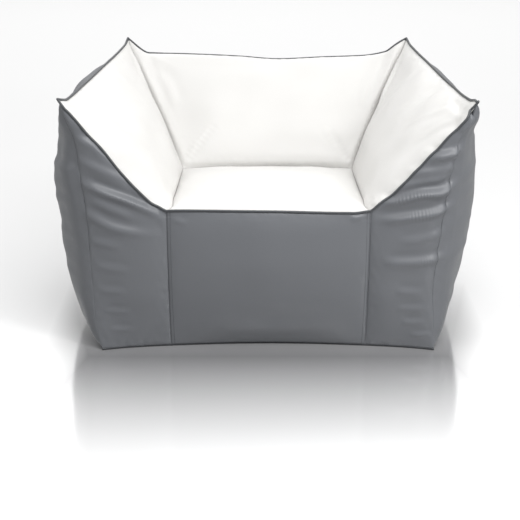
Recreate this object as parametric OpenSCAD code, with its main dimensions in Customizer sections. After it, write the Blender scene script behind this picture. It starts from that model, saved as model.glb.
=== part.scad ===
// Bean bag armchair: a sewn cover of grey and white leatherette panels with a piped rim,
// five inner partitions, and four bead-filled liners that keep the arms, seat and back in shape.
// Millimetres. +Z is up, the sitter faces -Y, and the origin is the centre of the base on the floor.

/* [Seat] */
// Width of the seat at its front edge
seat_w = 496; // [420:2:580]
// Width of the seat where it meets the back
seat_back_w = 482; // [400:2:560]
// Height of the front edge of the seat
seat_front_h = 372; // [300:1:440]
// Height of the seat where it meets the back
seat_back_h = 328; // [270:1:400]
// Depth of the seat from its front edge to the back
seat_d = 527; // [440:1:600]

/* [Arms and back] */
// Distance between the two front arm peaks
arm_span = 984; // [900:2:1100]
// Height of the front arm peaks
arm_h = 643; // [560:1:740]
// How far the rim dips between the arm peak and the back peak
arm_dip = 27; // [0:1:50]
// Distance between the two back peaks
back_span = 816; // [720:2:920]
// Height of the back peaks
back_h = 662; // [580:1:760]
// Distance from the front of the chair to the back peaks
back_d = 732; // [660:1:840]
// How far the rim dips between the two back peaks
back_dip = 56; // [0:1:70]

/* [Base] */
// Width of the base at its front corners
base_front_w = 840; // [760:2:900]
// Width of the base at its rear corners
base_rear_w = 812; // [720:2:860]
// Depth of the base
base_d = 690; // [660:1:780]
// How far the front edge of the base is drawn in at its middle
front_recess = 45; // [0:1:60]
// How far the side edges of the base stand out at their middles
side_swell = 12; // [0:1:30]
// How far the rear edge of the base is drawn in at its middle
rear_recess = 12; // [0:1:30]

/* [Fullness] */
// How far each side panel stands out from its seams
side_crown = 134; // [80:1:150]
// How far the front panel stands out
front_crown = 20; // [5:1:40]
// How far each front wing stands out
wing_crown = 14; // [5:1:30]
// How far the upper back panel stands out
back_crown = 72; // [40:1:90]
// How far the lower back panel stands out
hem_crown = 14; // [5:1:25]
// How far the seat stands up
seat_crown = 34; // [10:1:50]
// How far the inside of each arm stands out
arm_crown = 34; // [10:1:50]
// How far the backrest stands out
backrest_crown = 42; // [10:1:60]

/* [Cover and piping] */
// Thickness of the leatherette
cover_t = 2; // [1:0.1:3]
// Thickness of the base panel
base_t = 2; // [1:0.1:4]
// Outer diameter of the piping
piping_d = 6; // [5:0.1:9]
// Diameter of the cord inside the piping
core_d = 4; // [2.5:0.1:4.5]

/* [Zip] */
// Height of the zip above the floor
zip_h = 92; // [75:1:130]
// Width of each zip tape that shows
tape_w = 12; // [9:0.5:18]
// Thickness of the zip tapes
tape_t = 1.2; // [0.8:0.1:1.6]
// Width of each row of the zip's coil
coil_w = 2.8; // [2:0.1:4]
// Height of the zip's coil above its tapes
coil_h = 1.8; // [1.2:0.1:2.5]
// Length of the slider
slider_l = 18; // [14:0.5:24]
// Width of the slider
slider_w = 11; // [10:0.5:14]
// Length of the pull tab from its pin
pull_l = 34; // [24:1:45]
// Width of the pull tab
pull_w = 8; // [7:0.5:10]

/* [Vents] */
// Diameter of each vent hole
vent_d = 8; // [5:0.5:12]
// Diameter of each vent's rim
vent_rim_d = 18; // [15:0.5:24]

/* [Liners and filling] */
// How far each end of a liner is drawn in from its chamber
liner_draw = 8; // [7:0.1:12]
// Thickness of the liner cloth
liner_t = 1.4; // [0.8:0.1:2]
// Gap between a liner and its filling
fill_gap = 1; // [0.6:0.1:2]
// Thickness of the partition cloth
partition_t = 1; // [0.6:0.1:2]
// Length of each touch-fastener strip
closure_l = 120; // [80:5:180]
// Width of each touch-fastener strip
closure_w = 20; // [15:1:30]
// Thickness of each touch-fastener strip
closure_t = 1; // [0.6:0.1:1.4]

/* [Hidden] */
grey = [0.36, 0.38, 0.40];
white = [0.94, 0.94, 0.92];
dark_grey = [0.22, 0.23, 0.24];
black = [0.08, 0.08, 0.09];
nickel = [0.70, 0.70, 0.68];
calico = [0.90, 0.87, 0.78];
bead_white = [0.97, 0.97, 0.97];

// Cells along each edge of a panel. The rear edge of a side is split into the hem, the zip band and the rest.
cells = 8;
hem_cells = 2;
upper_cells = cells - hem_cells - 1;
upper_low_rows = cells / 2 - hem_cells - 1;

front_y = -base_d / 2;
rear_y = base_d / 2;
arm_setback = 4;         // arm peaks behind the front of the chair
wing_pinch = 25;         // how far the front side seams are drawn in at mid height
corner_pinch = 8;        // how far the rear corner seams swell out at mid height
rim_slack = 8;           // how far the sloping front rims sag
foot_recess = 28;        // front seams' feet behind the base's front corners
arm_crease_sag = 10;      // how far the creases beside the seat sag
back_crease_sag = 6;      // how far the crease behind the seat sags
zip_stand = 6;           // zip behind the base's rear corners
zip_inset = 5;           // zip's ends inside the base's rear corners

// ---- Points where seams meet, on the right-hand side ----
arm_peak = [arm_span / 2, front_y + arm_setback, arm_h];
back_peak = [back_span / 2, front_y + back_d, back_h];
seat_corner = [seat_w / 2, front_y, seat_front_h];
crease_corner = [seat_back_w / 2, front_y + seat_d, seat_back_h];
base_corner = [base_front_w / 2, front_y, base_t];
base_rear = [base_rear_w / 2, rear_y, base_t];
seam_foot = [seat_w / 2, front_y + foot_recess, base_t];
crease_foot = [seat_back_w / 2, front_y + seat_d, base_t];
zip_low = [base_rear_w / 2 + zip_inset, rear_y + zip_stand, zip_h - tape_w];
zip_high = [base_rear_w / 2 + zip_inset, rear_y + zip_stand, zip_h + tape_w];

// ---- Small helpers ----
function unit(v) = v / norm(v);
function mean(points) = [for (k = [0:2]) sum([for (p = points) p[k]]) / len(points)];
function sum(values, k = 0) = k == len(values) ? 0 : values[k] + sum(values, k + 1);
function opposite(p) = [-p.x, p.y, p.z];
function flip(points) = [for (p = points) opposite(p)];
function backwards(list) = [for (i = [len(list) - 1:-1:0]) list[i]];

// ---- Seams: curves of n cells, closer together towards their ends ----
// A power of 2 sags like a hanging cord, and a power of 1 rises to a horn at each end.
function seam(a, b, sag = [0, 0, 0], power = 2, n = cells) = [
    for (i = [0:n])
        i == 0 ? a : i == n ? b :
        a + (b - a) * (1 - cos(180 * i / n)) / 2 + sag * pow(sin(180 * i / n), power)
];

rim_seat = seam(opposite(seat_corner), seat_corner);
rim_slope = seam(seat_corner, arm_peak, rim_slack * unit([arm_h - seat_front_h, 0, (seat_w - arm_span) / 2]));
rim_arm = seam(arm_peak, back_peak, [0, 0, -arm_dip], 1);
rim_back = seam(opposite(back_peak), back_peak, [0, 0, -back_dip], 1);
front_seam = seam(seam_foot, seat_corner);
wing_seam = seam(base_corner, arm_peak, [-wing_pinch, 0, 0]);
hem_seam = seam(base_rear, zip_low, [0, 0, 0], 2, hem_cells);
upper_seam = seam(zip_high, back_peak, [corner_pinch, 0, 0], 2, upper_cells);
rear_seam = concat(hem_seam, upper_seam);
arm_crease = seam(seat_corner, crease_corner, [0, 0, -arm_crease_sag]);
back_crease = seam(opposite(crease_corner), crease_corner, [0, 0, -back_crease_sag]);
corner_crease = seam(crease_corner, back_peak);
foot_front = seam(opposite(seam_foot), seam_foot, [0, front_recess - foot_recess, 0]);
foot_wing = seam(seam_foot, base_corner);
foot_side = seam(base_corner, base_rear, [side_swell, 0, 0]);
foot_rear = seam(opposite(base_rear), base_rear, [0, -rear_recess, 0]);
foot_arm = seam(seam_foot, crease_foot);
foot_back = seam(opposite(crease_foot), crease_foot);
foot_corner = seam(crease_foot, base_rear);
crease_post = seam(crease_foot, crease_corner);
zip_line_low = seam(opposite(zip_low), zip_low);
zip_line_high = seam(opposite(zip_high), zip_high);

// ---- Panels: a grid of rows between four seams, stood out from them by a crown ----
function patch(bottom, top, left, right, crown = 0) =
    let(
        nu = len(bottom) - 1,
        nv = len(left) - 1,
        across = right[round(nv / 2)] - left[round(nv / 2)],
        up = top[round(nu / 2)] - bottom[round(nu / 2)],
        out = unit(cross(across, up))
    )
    [for (j = [0:nv]) [for (i = [0:nu])
        j == 0 ? bottom[i] : j == nv ? top[i] : i == 0 ? left[j] : i == nu ? right[j] :
        let(u = (1 - cos(180 * i / nu)) / 2, v = (1 - cos(180 * j / nv)) / 2)
        (1 - v) * bottom[i] + v * top[i] + (1 - u) * left[j] + u * right[j]
        - (1 - v) * ((1 - u) * bottom[0] + u * bottom[nu])
        - v * ((1 - u) * top[0] + u * top[nu])
        + out * crown * sin(180 * i / nu) * sin(180 * j / nv)
    ]];

front_grid = patch(foot_front, rim_seat, flip(front_seam), front_seam, front_crown);
wing_grid = patch(foot_wing, rim_slope, front_seam, wing_seam, wing_crown);
side_grid = patch(foot_side, rim_arm, wing_seam, rear_seam, side_crown);
seat_grid = patch(rim_seat, back_crease, flip(arm_crease), arm_crease, seat_crown);
arm_grid = patch(rim_slope, corner_crease, arm_crease, rim_arm, arm_crown);
backrest_grid = patch(back_crease, rim_back, flip(corner_crease), corner_crease, backrest_crown);
hem_grid = patch(backwards(foot_rear), backwards(zip_line_low), hem_seam, flip(hem_seam), hem_crown);
upper_grid = patch(backwards(zip_line_high), backwards(rim_back), upper_seam, flip(upper_seam), back_crown);
seat_wall_grid = patch(foot_back, back_crease, flip(crease_post), crease_post);
arm_wall_grid = patch(foot_arm, arm_crease, front_seam, crease_post);
corner_wall_grid = patch(foot_corner, corner_crease, crease_post, rear_seam);

// The normal of a grid at one of its inner points, by its neighbours
function grid_normal(g, i, j) = unit(cross(g[j][i + 1] - g[j][i - 1], g[j + 1][i] - g[j - 1][i]));

// The two triangles of a cell. The split runs away from the nearest corner of the panel.
function cell_faces(left, low, a, b, c, d) = left == low ? [[a, c, b], [a, d, c]] : [[a, d, b], [b, d, c]];

// A sheet whose thickness runs out to a thin skived edge at its seams.
// The split of its cells turns round at turn_row, or half way up.
module skived_sheet(g, t, both_sides = false, turn_row = 0) {
    nu = len(g[0]) - 1;
    nv = len(g) - 1;
    low_rows = turn_row > 0 ? turn_row : nv / 2;
    count = (nu + 1) * (nv + 1);
    raised = both_sides ? t / 2 : 0;
    function is_inner(i, j) = i > 0 && i < nu && j > 0 && j < nv;
    function at(i, j) = i + j * (nu + 1);
    function under(i, j) = is_inner(i, j) ? count + at(i, j) : at(i, j);
    outer = [for (j = [0:nv]) for (i = [0:nu])
        is_inner(i, j) ? g[j][i] + raised * grid_normal(g, i, j) : g[j][i]];
    inner = [for (j = [0:nv]) for (i = [0:nu])
        is_inner(i, j) ? g[j][i] - (t - raised) * grid_normal(g, i, j) : g[j][i]];
    tops = [for (j = [0:nv - 1]) for (i = [0:nu - 1])
        let(a = at(i, j), b = at(i + 1, j), c = at(i + 1, j + 1), d = at(i, j + 1))
        for (f = cell_faces(2 * i < nu, j < low_rows, a, b, c, d)) f];
    bottoms = [for (j = [0:nv - 1]) for (i = [0:nu - 1])
        let(a = under(i, j), b = under(i + 1, j), c = under(i + 1, j + 1), d = under(i, j + 1))
        for (f = cell_faces(2 * i < nu, j < low_rows, a, b, c, d)) backwards(f)];
    polyhedron(concat(outer, inner), concat(tops, bottoms));
}

// ---- Chambers: the space between six grids, each named by the side of the chamber it closes ----
// floor and roof run across then back; front and rear run across then up; left and right run back then up.
seat_floor_grid = patch(foot_front, foot_back, flip(foot_arm), foot_arm);
arm_floor_grid = patch(foot_wing, foot_corner, foot_arm, foot_side);
back_floor_grid = patch(foot_back, foot_rear, flip(foot_corner), foot_corner);
rear_face_grid = [for (row = concat(hem_grid, upper_grid)) backwards(row)];

function flip_grid(g) = [for (row = g) flip(row)];
seat_chamber = [
    seat_floor_grid, seat_grid, front_grid, seat_wall_grid,
    flip_grid(arm_wall_grid), arm_wall_grid
];
arm_chamber = [
    arm_floor_grid, arm_grid, wing_grid, corner_wall_grid,
    arm_wall_grid, side_grid
];
back_chamber = [
    back_floor_grid, backrest_grid, seat_wall_grid, rear_face_grid,
    flip_grid(corner_wall_grid), corner_wall_grid
];

// A closed solid with a chamber's shape. Each of its ends is drawn in by this much, along the run
// of the chamber there, and its floor stays flat.
module chamber_solid(chamber, draw) {
    n = cells;
    function face_point(i, j, k) =
        k == 0 || k == n ? chamber[k == 0 ? 0 : 1][j][i] :
        j == 0 || j == n ? chamber[j == 0 ? 2 : 3][k][i] :
        i == 0 || i == n ? chamber[i == 0 ? 4 : 5][k][j] :
        (chamber[0][j][i] + chamber[1][j][i]) / 2;
    function pull(i, j, k) = draw * (
        cos(180 * i / n) * unit(face_point(n, j, k) - face_point(0, j, k))
        + cos(180 * j / n) * unit(face_point(i, n, k) - face_point(i, 0, k))
        + cos(180 * k / n) * unit(face_point(i, j, n) - face_point(i, j, 0))
    );
    function place(i, j, k) =
        let(p = face_point(i, j, k) + pull(i, j, k))
        k == 0 ? [p.x, p.y, base_t + draw] : p;
    function at(i, j, k) = i + (n + 1) * (j + (n + 1) * k);
    points = [for (k = [0:n]) for (j = [0:n]) for (i = [0:n]) place(i, j, k)];
    function low(i) = 2 * i < n;
    across = [for (k = [0, n]) for (j = [0:n - 1]) for (i = [0:n - 1])
        let(a = at(i, j, k), b = at(i + 1, j, k), c = at(i + 1, j + 1, k), d = at(i, j + 1, k))
        for (f = cell_faces(low(i), low(j), a, b, c, d)) k == 0 ? backwards(f) : f];
    upright = [for (j = [0, n]) for (k = [0:n - 1]) for (i = [0:n - 1])
        let(a = at(i, j, k), b = at(i + 1, j, k), c = at(i + 1, j, k + 1), d = at(i, j, k + 1))
        for (f = cell_faces(low(i), low(k), a, b, c, d)) j == 0 ? f : backwards(f)];
    sideways = [for (i = [0, n]) for (k = [0:n - 1]) for (j = [0:n - 1])
        let(a = at(i, j, k), b = at(i, j + 1, k), c = at(i, j + 1, k + 1), d = at(i, j, k + 1))
        for (f = cell_faces(low(j), low(k), a, b, c, d)) i == 0 ? backwards(f) : f];
    polyhedron(points, concat(across, upright, sideways));
}

module liner(chamber) {
    color(calico) difference() {
        chamber_solid(chamber, liner_draw);
        chamber_solid(chamber, liner_draw + liner_t);
    }
}

module filling(chamber) {
    color(bead_white) chamber_solid(chamber, liner_draw + liner_t + fill_gap);
}

// Mirrors a right-hand piece to the left
module left_of() {
    mirror([1, 0, 0]) children();
}

// ---- Cover panels ----
module base_panel() {
    outline = concat(
        flip(backwards(foot_wing)), foot_front, foot_wing, foot_side,
        backwards(foot_rear), flip(backwards(foot_side))
    );
    color(grey) linear_extrude(base_t) polygon([for (p = outline) [p.x, p.y]]);
}

module front_panel() {
    color(grey) skived_sheet(front_grid, cover_t);
}

module front_wing() {
    color(grey) skived_sheet(wing_grid, cover_t);
}

module side_panel() {
    color(grey) skived_sheet(side_grid, cover_t);
}

module lower_back_panel() {
    color(grey) skived_sheet(hem_grid, cover_t);
}

// The upper back panel, with a round hole for each vent
module upper_back_panel() {
    color(grey) difference() {
        skived_sheet(upper_grid, cover_t, false, upper_low_rows);
        for (side = [0, 1]) at_vent(side) translate([0, 0, -2 * cover_t])
            cylinder(h = 4 * cover_t, d = vent_hole_d, $fn = 48);
    }
}

module seat_panel() {
    color(white) skived_sheet(seat_grid, cover_t);
}

module arm_panel() {
    color(white) skived_sheet(arm_grid, cover_t);
}

module backrest_panel() {
    color(white) skived_sheet(backrest_grid, cover_t);
}

// ---- Piping: a cord with a sleeve round it, open where the sleeve is sewn into the seam ----
piping_gap = 0.3;
sleeve_gap = 0.1;
core_sides = 8;
sleeve_steps = 6;
sleeve_mouth = 30;       // degrees of the sleeve that stay open towards the seam, to each side

// The outward normal of a panel at any of its points, from the cells round it
function edge_normal(g, i, j) =
    let(i0 = max(i - 1, 0), i1 = min(i + 1, len(g[0]) - 1), j0 = max(j - 1, 0), j1 = min(j + 1, len(g) - 1))
    unit(cross(g[j][i1] - g[j][i0], g[j1][i] - g[j0][i]));

// A stop on the piping's route: its seam's point, and the way that the piping stands off from it
function stop_at(p, n1, n2) = [p, unit(n1 + n2)];
function flip_stops(stops) = [for (s = stops) [opposite(s[0]), opposite(s[1])]];
inner_stops = [1:cells - 1];
seat_stops = [for (i = inner_stops)
    stop_at(rim_seat[i], edge_normal(front_grid, i, cells), edge_normal(seat_grid, i, 0))];
slope_stops = [for (i = inner_stops)
    stop_at(rim_slope[i], edge_normal(wing_grid, i, cells), edge_normal(arm_grid, i, 0))];
arm_stops = [for (i = inner_stops)
    stop_at(rim_arm[i], edge_normal(side_grid, i, cells), edge_normal(arm_grid, cells, i))];
back_stops = [for (i = inner_stops)
    stop_at(rim_back[i], edge_normal(upper_grid, cells - i, upper_cells),
        edge_normal(backrest_grid, i, cells))];
seat_turn = stop_at(seat_corner, [0, -1, 0], [-0.2, 0, 0.8]);
arm_turn = stop_at(arm_peak, [0.3, -0.6, 0], [0, 0, 1]);
back_turn = stop_at(back_peak, [0.3, 0.6, 0], [0, 0, 1]);

route = concat(
    flip_stops([seat_turn]), seat_stops, [seat_turn], slope_stops, [arm_turn], arm_stops, [back_turn],
    backwards(back_stops), flip_stops([back_turn]), flip_stops(backwards(arm_stops)),
    flip_stops([arm_turn]), flip_stops(backwards(slope_stops))
);
route_line = [for (s = route) s[0] + (piping_d / 2 + piping_gap) * s[1]];

// A closed sweep along the route of an outline given as [radius, angle] points, 0 degrees being off the seam
module piping_sweep(outline) {
    n = len(route);
    m = len(outline);
    function ring(k, s) = ((k + n) % n) * m + s % m;
    rings = [for (k = [0:n - 1])
        let(
            here = route_line[k],
            ahead = unit(route_line[(k + 1) % n] - here) + unit(here - route_line[(k + n - 1) % n]),
            t = unit(ahead),
            a = unit(route[k][1] - t * (route[k][1] * t)),
            b = cross(t, a)
        )
        for (o = outline) here + o[0] * (cos(o[1]) * a + sin(o[1]) * b)
    ];
    faces = [for (k = [0:n - 1]) for (s = [0:m - 1])
        for (f = [
            [ring(k, s), ring(k, s + 1), ring(k + 1, s + 1)],
            [ring(k, s), ring(k + 1, s + 1), ring(k + 1, s)]
        ]) f
    ];
    polyhedron(rings, faces);
}

module piping_sleeve() {
    sweep = 180 - sleeve_mouth;
    r_in = (core_d / 2 + sleeve_gap) / cos(sweep / sleeve_steps);
    angles = [for (k = [0:sleeve_steps]) -sweep + 2 * sweep * k / sleeve_steps];
    color(dark_grey) piping_sweep(concat(
        [for (a = angles) [piping_d / 2, a]],
        [for (a = backwards(angles)) [r_in, a]]
    ));
}

module piping_core() {
    color(calico) piping_sweep([for (s = [0:core_sides - 1]) [core_d / 2, 360 * s / core_sides]]);
}

// ---- Partitions ----
module seat_partition() {
    color(calico) skived_sheet(seat_wall_grid, partition_t, true);
}

module arm_partition() {
    color(calico) skived_sheet(arm_wall_grid, partition_t, true);
}

module corner_partition() {
    color(calico) skived_sheet(corner_wall_grid, partition_t, true);
}

// ---- Vents ----
vent_wall = 0.8;
vent_gap = 0.05;
vent_hole_d = vent_d + 2 * vent_wall + 2 * vent_gap;
vent_flange = 0.8;
vent_play = 0.6;         // room for the leatherette between a vent's rim and its washer
vent_washer_z = -cover_t - vent_play - vent_flange;
vent_column = 1;
vent_row = 1;

// The flat triangle of the upper back panel that holds a vent, on the right (0) or the left (1)
function vent_triangle(side) =
    let(
        i = side == 0 ? vent_column : cells - 1 - vent_column,
        row = upper_grid[vent_row],
        above = upper_grid[vent_row + 1]
    )
    cell_faces(2 * i < cells, vent_row < upper_low_rows, row[i], row[i + 1], above[i + 1], above[i])[0];

// Carries children to a vent, with +Z out of the panel
module at_vent(side) {
    tri = vent_triangle(side);
    out = unit(cross(tri[2] - tri[0], tri[1] - tri[0]));
    translate(mean(tri)) rotate([0, acos(out.z), atan2(out.y, out.x)]) children();
}

module vent_eyelets() {
    color(nickel) for (side = [0, 1]) at_vent(side)
        difference() {
            union() {
                cylinder(h = vent_flange, d = vent_rim_d, $fn = 48);
                translate([0, 0, vent_washer_z])
                    cylinder(h = -vent_washer_z + vent_flange / 2, d = vent_d + 2 * vent_wall, $fn = 48);
            }
            translate([0, 0, -2 * cover_t - vent_flange])
                cylinder(h = 3 * cover_t + 3 * vent_flange, d = vent_d, $fn = 48);
        }
}

module vent_washers() {
    color(nickel) for (side = [0, 1]) at_vent(side)
        translate([0, 0, vent_washer_z]) difference() {
            cylinder(h = vent_flange, d = vent_rim_d, $fn = 48);
            translate([0, 0, -1]) cylinder(h = vent_flange + 2, d = vent_hole_d, $fn = 48);
        }
}

// ---- Zip: it runs straight across the back, along X ----
zip_y = zip_low.y;
slot = 1.2;              // between the two tapes, for the slider's post
post_t = 0.8;
run_gap = 0.25;          // round everything the slider passes
plate_t = 1.4;
zip_half = zip_low.x - 2;
stop_w = 4;
stop_inset = 10;
stop_x = zip_half - stop_inset;
park_x = stop_x - stop_w - 1 - slider_l / 2;
bridge_t = 1.4;
bridge_l = 11;
pin_r = 1;
pin_room = 0.3;
outer_plate_y = zip_y + coil_h + run_gap;
pin_y = outer_plate_y + plate_t + pin_r + pin_room;

module zip_tape(side) {
    z0 = side > 0 ? zip_h + slot / 2 : zip_h - tape_w;
    color(black) translate([-zip_half, zip_y - tape_t, z0]) cube([2 * zip_half, tape_t, tape_w - slot / 2]);
}

module zip_coil(side) {
    z0 = side > 0 ? zip_h + slot / 2 : zip_h - slot / 2 - coil_w;
    color(black) translate([-zip_half + 1, zip_y, z0]) cube([2 * zip_half - 2, coil_h, coil_w]);
}

// A crimp over each end of the coil
module zip_end_stops() {
    color(nickel) for (x = [-stop_x, stop_x]) difference() {
        translate([x - stop_w / 2, zip_y, zip_h - coil_w - slot / 2 - 1])
            cube([stop_w, coil_h + 0.8, 2 * coil_w + slot + 2]);
        translate([x - stop_w, zip_y - 1, zip_h - coil_w - slot / 2])
            cube([2 * stop_w, coil_h + 1, 2 * coil_w + slot]);
    }
}

module rounded_plate(l, w, t, r) {
    linear_extrude(t) hull() for (x = [-l / 2 + r, l / 2 - r]) for (y = [-w / 2 + r, w / 2 - r])
        translate([x, y]) circle(r, $fn = 32);
}

// Lays a part drawn in the XY plane against the zip, with its +Z pointing out of the back
module on_zip(x, y) {
    translate([x, y, zip_h]) rotate([-90, 0, 0]) children();
}

module zip_slider() {
    inner_y = zip_y - tape_t - run_gap - plate_t;
    lip_w = 0.8;
    color(nickel) {
        on_zip(park_x, outer_plate_y) rounded_plate(slider_l, slider_w, plate_t, 3);
        on_zip(park_x, inner_y) rounded_plate(slider_l, slider_w, plate_t, 3);
        translate([park_x - 2.5, inner_y + plate_t / 2, zip_h - post_t / 2])
            cube([5, outer_plate_y - inner_y, post_t]);
        for (z = [zip_h - slider_w / 2, zip_h + slider_w / 2 - lip_w])
            translate([park_x - slider_l / 2 + 3, zip_y + run_gap, z])
                cube([slider_l - 6, coil_h + plate_t / 2, lip_w]);
        for (x = [park_x - bridge_l / 2, park_x + bridge_l / 2 - bridge_t])
            translate([x, outer_plate_y + plate_t / 2, zip_h - bridge_t / 2])
                cube([bridge_t, plate_t / 2 + 2 * pin_r + 2 * pin_room + bridge_t / 2, bridge_t]);
        translate([park_x - bridge_l / 2, pin_y + pin_r + pin_room, zip_h - bridge_t / 2])
            cube([bridge_l, bridge_t, bridge_t]);
    }
}

// A tab on two arms, with a pin that passes under the slider's bridge
module zip_pull() {
    arm_w = 1.6;
    tab_t = 1.6;
    arm_l = 9;
    color(nickel) {
        translate([park_x, pin_y, zip_h - pull_w / 2]) cylinder(h = pull_w, r = pin_r, $fn = 32);
        for (z = [zip_h - pull_w / 2, zip_h + pull_w / 2 - arm_w])
            translate([park_x - arm_l, pin_y - tab_t / 2, z]) cube([arm_l, tab_t, arm_w]);
        difference() {
            on_zip(park_x - (arm_l + pull_l) / 2, pin_y - tab_t / 2)
                rounded_plate(pull_l - arm_l + 2, pull_w, tab_t, 2.5);
            on_zip(park_x - pull_l + 4.5, pin_y - tab_t) cylinder(h = 2 * tab_t, d = 3.5, $fn = 32);
        }
    }
}

// ---- Touch-fastener strips that close the liners' mouths, under each liner ----
seat_mouth_y = front_y + seat_d / 2 + 120;
back_mouth_y = (front_y + seat_d + rear_y) / 2;
arm_mouth_x = (seat_w + base_front_w) / 4 + 20;

module closure_strips(layer) {
    z = base_t + liner_draw - closure_t * (layer + 1);
    color(black) {
        for (y = [seat_mouth_y, back_mouth_y])
            translate([-closure_l / 2, y - closure_w / 2, z]) cube([closure_l, closure_w, closure_t]);
        for (x = [-arm_mouth_x, arm_mouth_x])
            translate([x - closure_w / 2, -closure_l / 2, z]) cube([closure_w, closure_l, closure_t]);
    }
}

base_panel();
front_panel();
left_of() front_wing();  // front_left_wing
front_wing();  // front_right_wing
left_of() side_panel();  // left_side_panel
side_panel();  // right_side_panel
upper_back_panel();
lower_back_panel();
seat_panel();
backrest_panel();
left_of() arm_panel();  // left_arm_panel
arm_panel();  // right_arm_panel
piping_sleeve();
piping_core();
zip_tape(1);  // zip_upper_tape
zip_tape(-1);  // zip_lower_tape
zip_coil(1);  // zip_upper_coil
zip_coil(-1);  // zip_lower_coil
zip_end_stops();
zip_slider();
zip_pull();
vent_eyelets();
vent_washers();
seat_partition();
left_of() arm_partition();  // left_arm_partition
arm_partition();  // right_arm_partition
left_of() corner_partition();  // left_corner_partition
corner_partition();  // right_corner_partition
liner(seat_chamber);  // seat_liner
liner(back_chamber);  // back_liner
left_of() liner(arm_chamber);  // left_arm_liner
liner(arm_chamber);  // right_arm_liner
filling(seat_chamber);  // seat_fill
filling(back_chamber);  // back_fill
left_of() filling(arm_chamber);  // left_arm_fill
filling(arm_chamber);  // right_arm_fill
closure_strips(1);  // liner_hook_strips
closure_strips(0);  // liner_loop_strips
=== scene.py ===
"""A piped leatherette bean bag armchair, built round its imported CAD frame.

The cover is eleven sewn panels over a base. They are laid between shared seam curves, welded into one shell,
blown up by a cloth simulation, folded where a real cover folds, and parted again at their seams.
Everything is in metres, except where it says millimetres.
"""

from __future__ import annotations

import itertools
import logging
import math
from collections.abc import Iterable
from dataclasses import dataclass, field
from enum import Enum

import bmesh
import bpy
import numpy as np
from mathutils import Matrix, Vector

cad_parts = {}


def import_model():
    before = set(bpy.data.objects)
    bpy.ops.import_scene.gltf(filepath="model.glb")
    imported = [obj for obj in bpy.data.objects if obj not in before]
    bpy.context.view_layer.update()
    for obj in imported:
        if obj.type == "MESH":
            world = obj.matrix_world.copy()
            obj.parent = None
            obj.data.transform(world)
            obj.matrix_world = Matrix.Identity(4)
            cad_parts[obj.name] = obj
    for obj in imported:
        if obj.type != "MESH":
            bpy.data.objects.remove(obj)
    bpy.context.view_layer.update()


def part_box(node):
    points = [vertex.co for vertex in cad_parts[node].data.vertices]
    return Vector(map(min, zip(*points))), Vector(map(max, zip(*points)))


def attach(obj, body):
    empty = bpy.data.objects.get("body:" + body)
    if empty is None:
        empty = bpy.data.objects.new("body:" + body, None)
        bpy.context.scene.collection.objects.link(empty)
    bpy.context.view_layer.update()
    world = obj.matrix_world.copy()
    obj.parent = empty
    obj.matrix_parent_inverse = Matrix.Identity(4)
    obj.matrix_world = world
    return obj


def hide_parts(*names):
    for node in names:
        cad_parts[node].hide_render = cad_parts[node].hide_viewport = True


LOG = logging.getLogger("bean_bag_chair")
MM = 0.001
COVER = "cover"


# ---------------------------------------------------------------- places read from the frame


def mesh_points(mesh: bpy.types.Mesh, what: str = "co") -> np.ndarray:
    """Return a mesh's points, or its vertices' normals, as rows.

    Args:
        mesh: The mesh.
        what: "co" for the points, "normal" for the normals.
    """
    flat = np.empty(len(mesh.vertices) * 3)
    mesh.vertices.foreach_get(what, flat)
    return flat.reshape(-1, 3)


def node_points(node: str) -> np.ndarray:
    """Return a CAD node's points as rows.

    Args:
        node: The CAD node's name.
    """
    return mesh_points(bpy.data.objects[node].data)


def furthest(node: str, direction: tuple[float, float, float]) -> np.ndarray:
    """Return the point of a CAD node that lies furthest in a direction.

    Args:
        node: The CAD node's name.
        direction: The way to look.
    """
    points = node_points(node)
    return points[np.argmax(points @ np.array(direction))]


def opposite(point: np.ndarray) -> np.ndarray:
    """Return the point, or points, on the other side of the chair."""
    return point * np.array([-1.0, 1.0, 1.0])


@dataclass
class Corners:
    """The points where the cover's seams meet, on the right-hand side, read from the frame."""

    arm_peak: np.ndarray = field(init=False)
    back_peak: np.ndarray = field(init=False)
    seat_corner: np.ndarray = field(init=False)
    crease_corner: np.ndarray = field(init=False)
    base_front: np.ndarray = field(init=False)
    base_rear: np.ndarray = field(init=False)
    seam_foot: np.ndarray = field(init=False)
    zip_low: np.ndarray = field(init=False)
    zip_high: np.ndarray = field(init=False)

    def __post_init__(self) -> None:
        """Look the corners up."""
        self.arm_peak = furthest("front_right_wing", (1, 0, 2))
        self.back_peak = furthest("backrest_panel", (1, 0.5, 2))
        self.seat_corner = furthest("front_panel", (1, 0, 1))
        self.crease_corner = furthest("seat_panel", (1, 1, -1))
        self.base_front = furthest("front_right_wing", (1, -1, -3))
        self.base_rear = furthest("lower_back_panel", (1, 0, -3))
        self.seam_foot = furthest("front_right_wing", (-1, 0, -3))
        self.zip_low = furthest("lower_back_panel", (1, 0.2, 3))
        self.zip_high = furthest("upper_back_panel", (1, 0.2, -3))


# ---------------------------------------------------------------- seams and panels

HEM_CELLS = 6
ZIP_CELLS = 2
WELD = 1e-5
GROWTH_MOST = 0.05
CLOTH_CAP = 0.03
SEAM_ENDS = np.array([0.0, 0.1, 0.22, 0.4, 0.667])
Push = tuple[float, tuple[float, float, float]]


class Run(Enum):
    """The four runs that a panel's cells follow: those simulated, and the cuts of each after it."""

    WIDTH = (46, 3)
    DEPTH = (48, 3)
    SLOPE = (32, 3)
    HEIGHT = (44, 3)

    @property
    def cells(self) -> int:
        """How many cells the run has in the simulation."""
        return self.value[0]

    def places(self, cells: int) -> np.ndarray:
        """Return where the finished cloth has its lines along this run, closer together beside the seams.

        Args:
            cells: How many of the run's cells the panel takes.
        """
        middle = np.linspace(1, cells - 1, (cells - 2) * self.value[1] + 1)
        return np.concatenate([SEAM_ENDS, middle, cells - SEAM_ENDS[::-1]])


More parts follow.
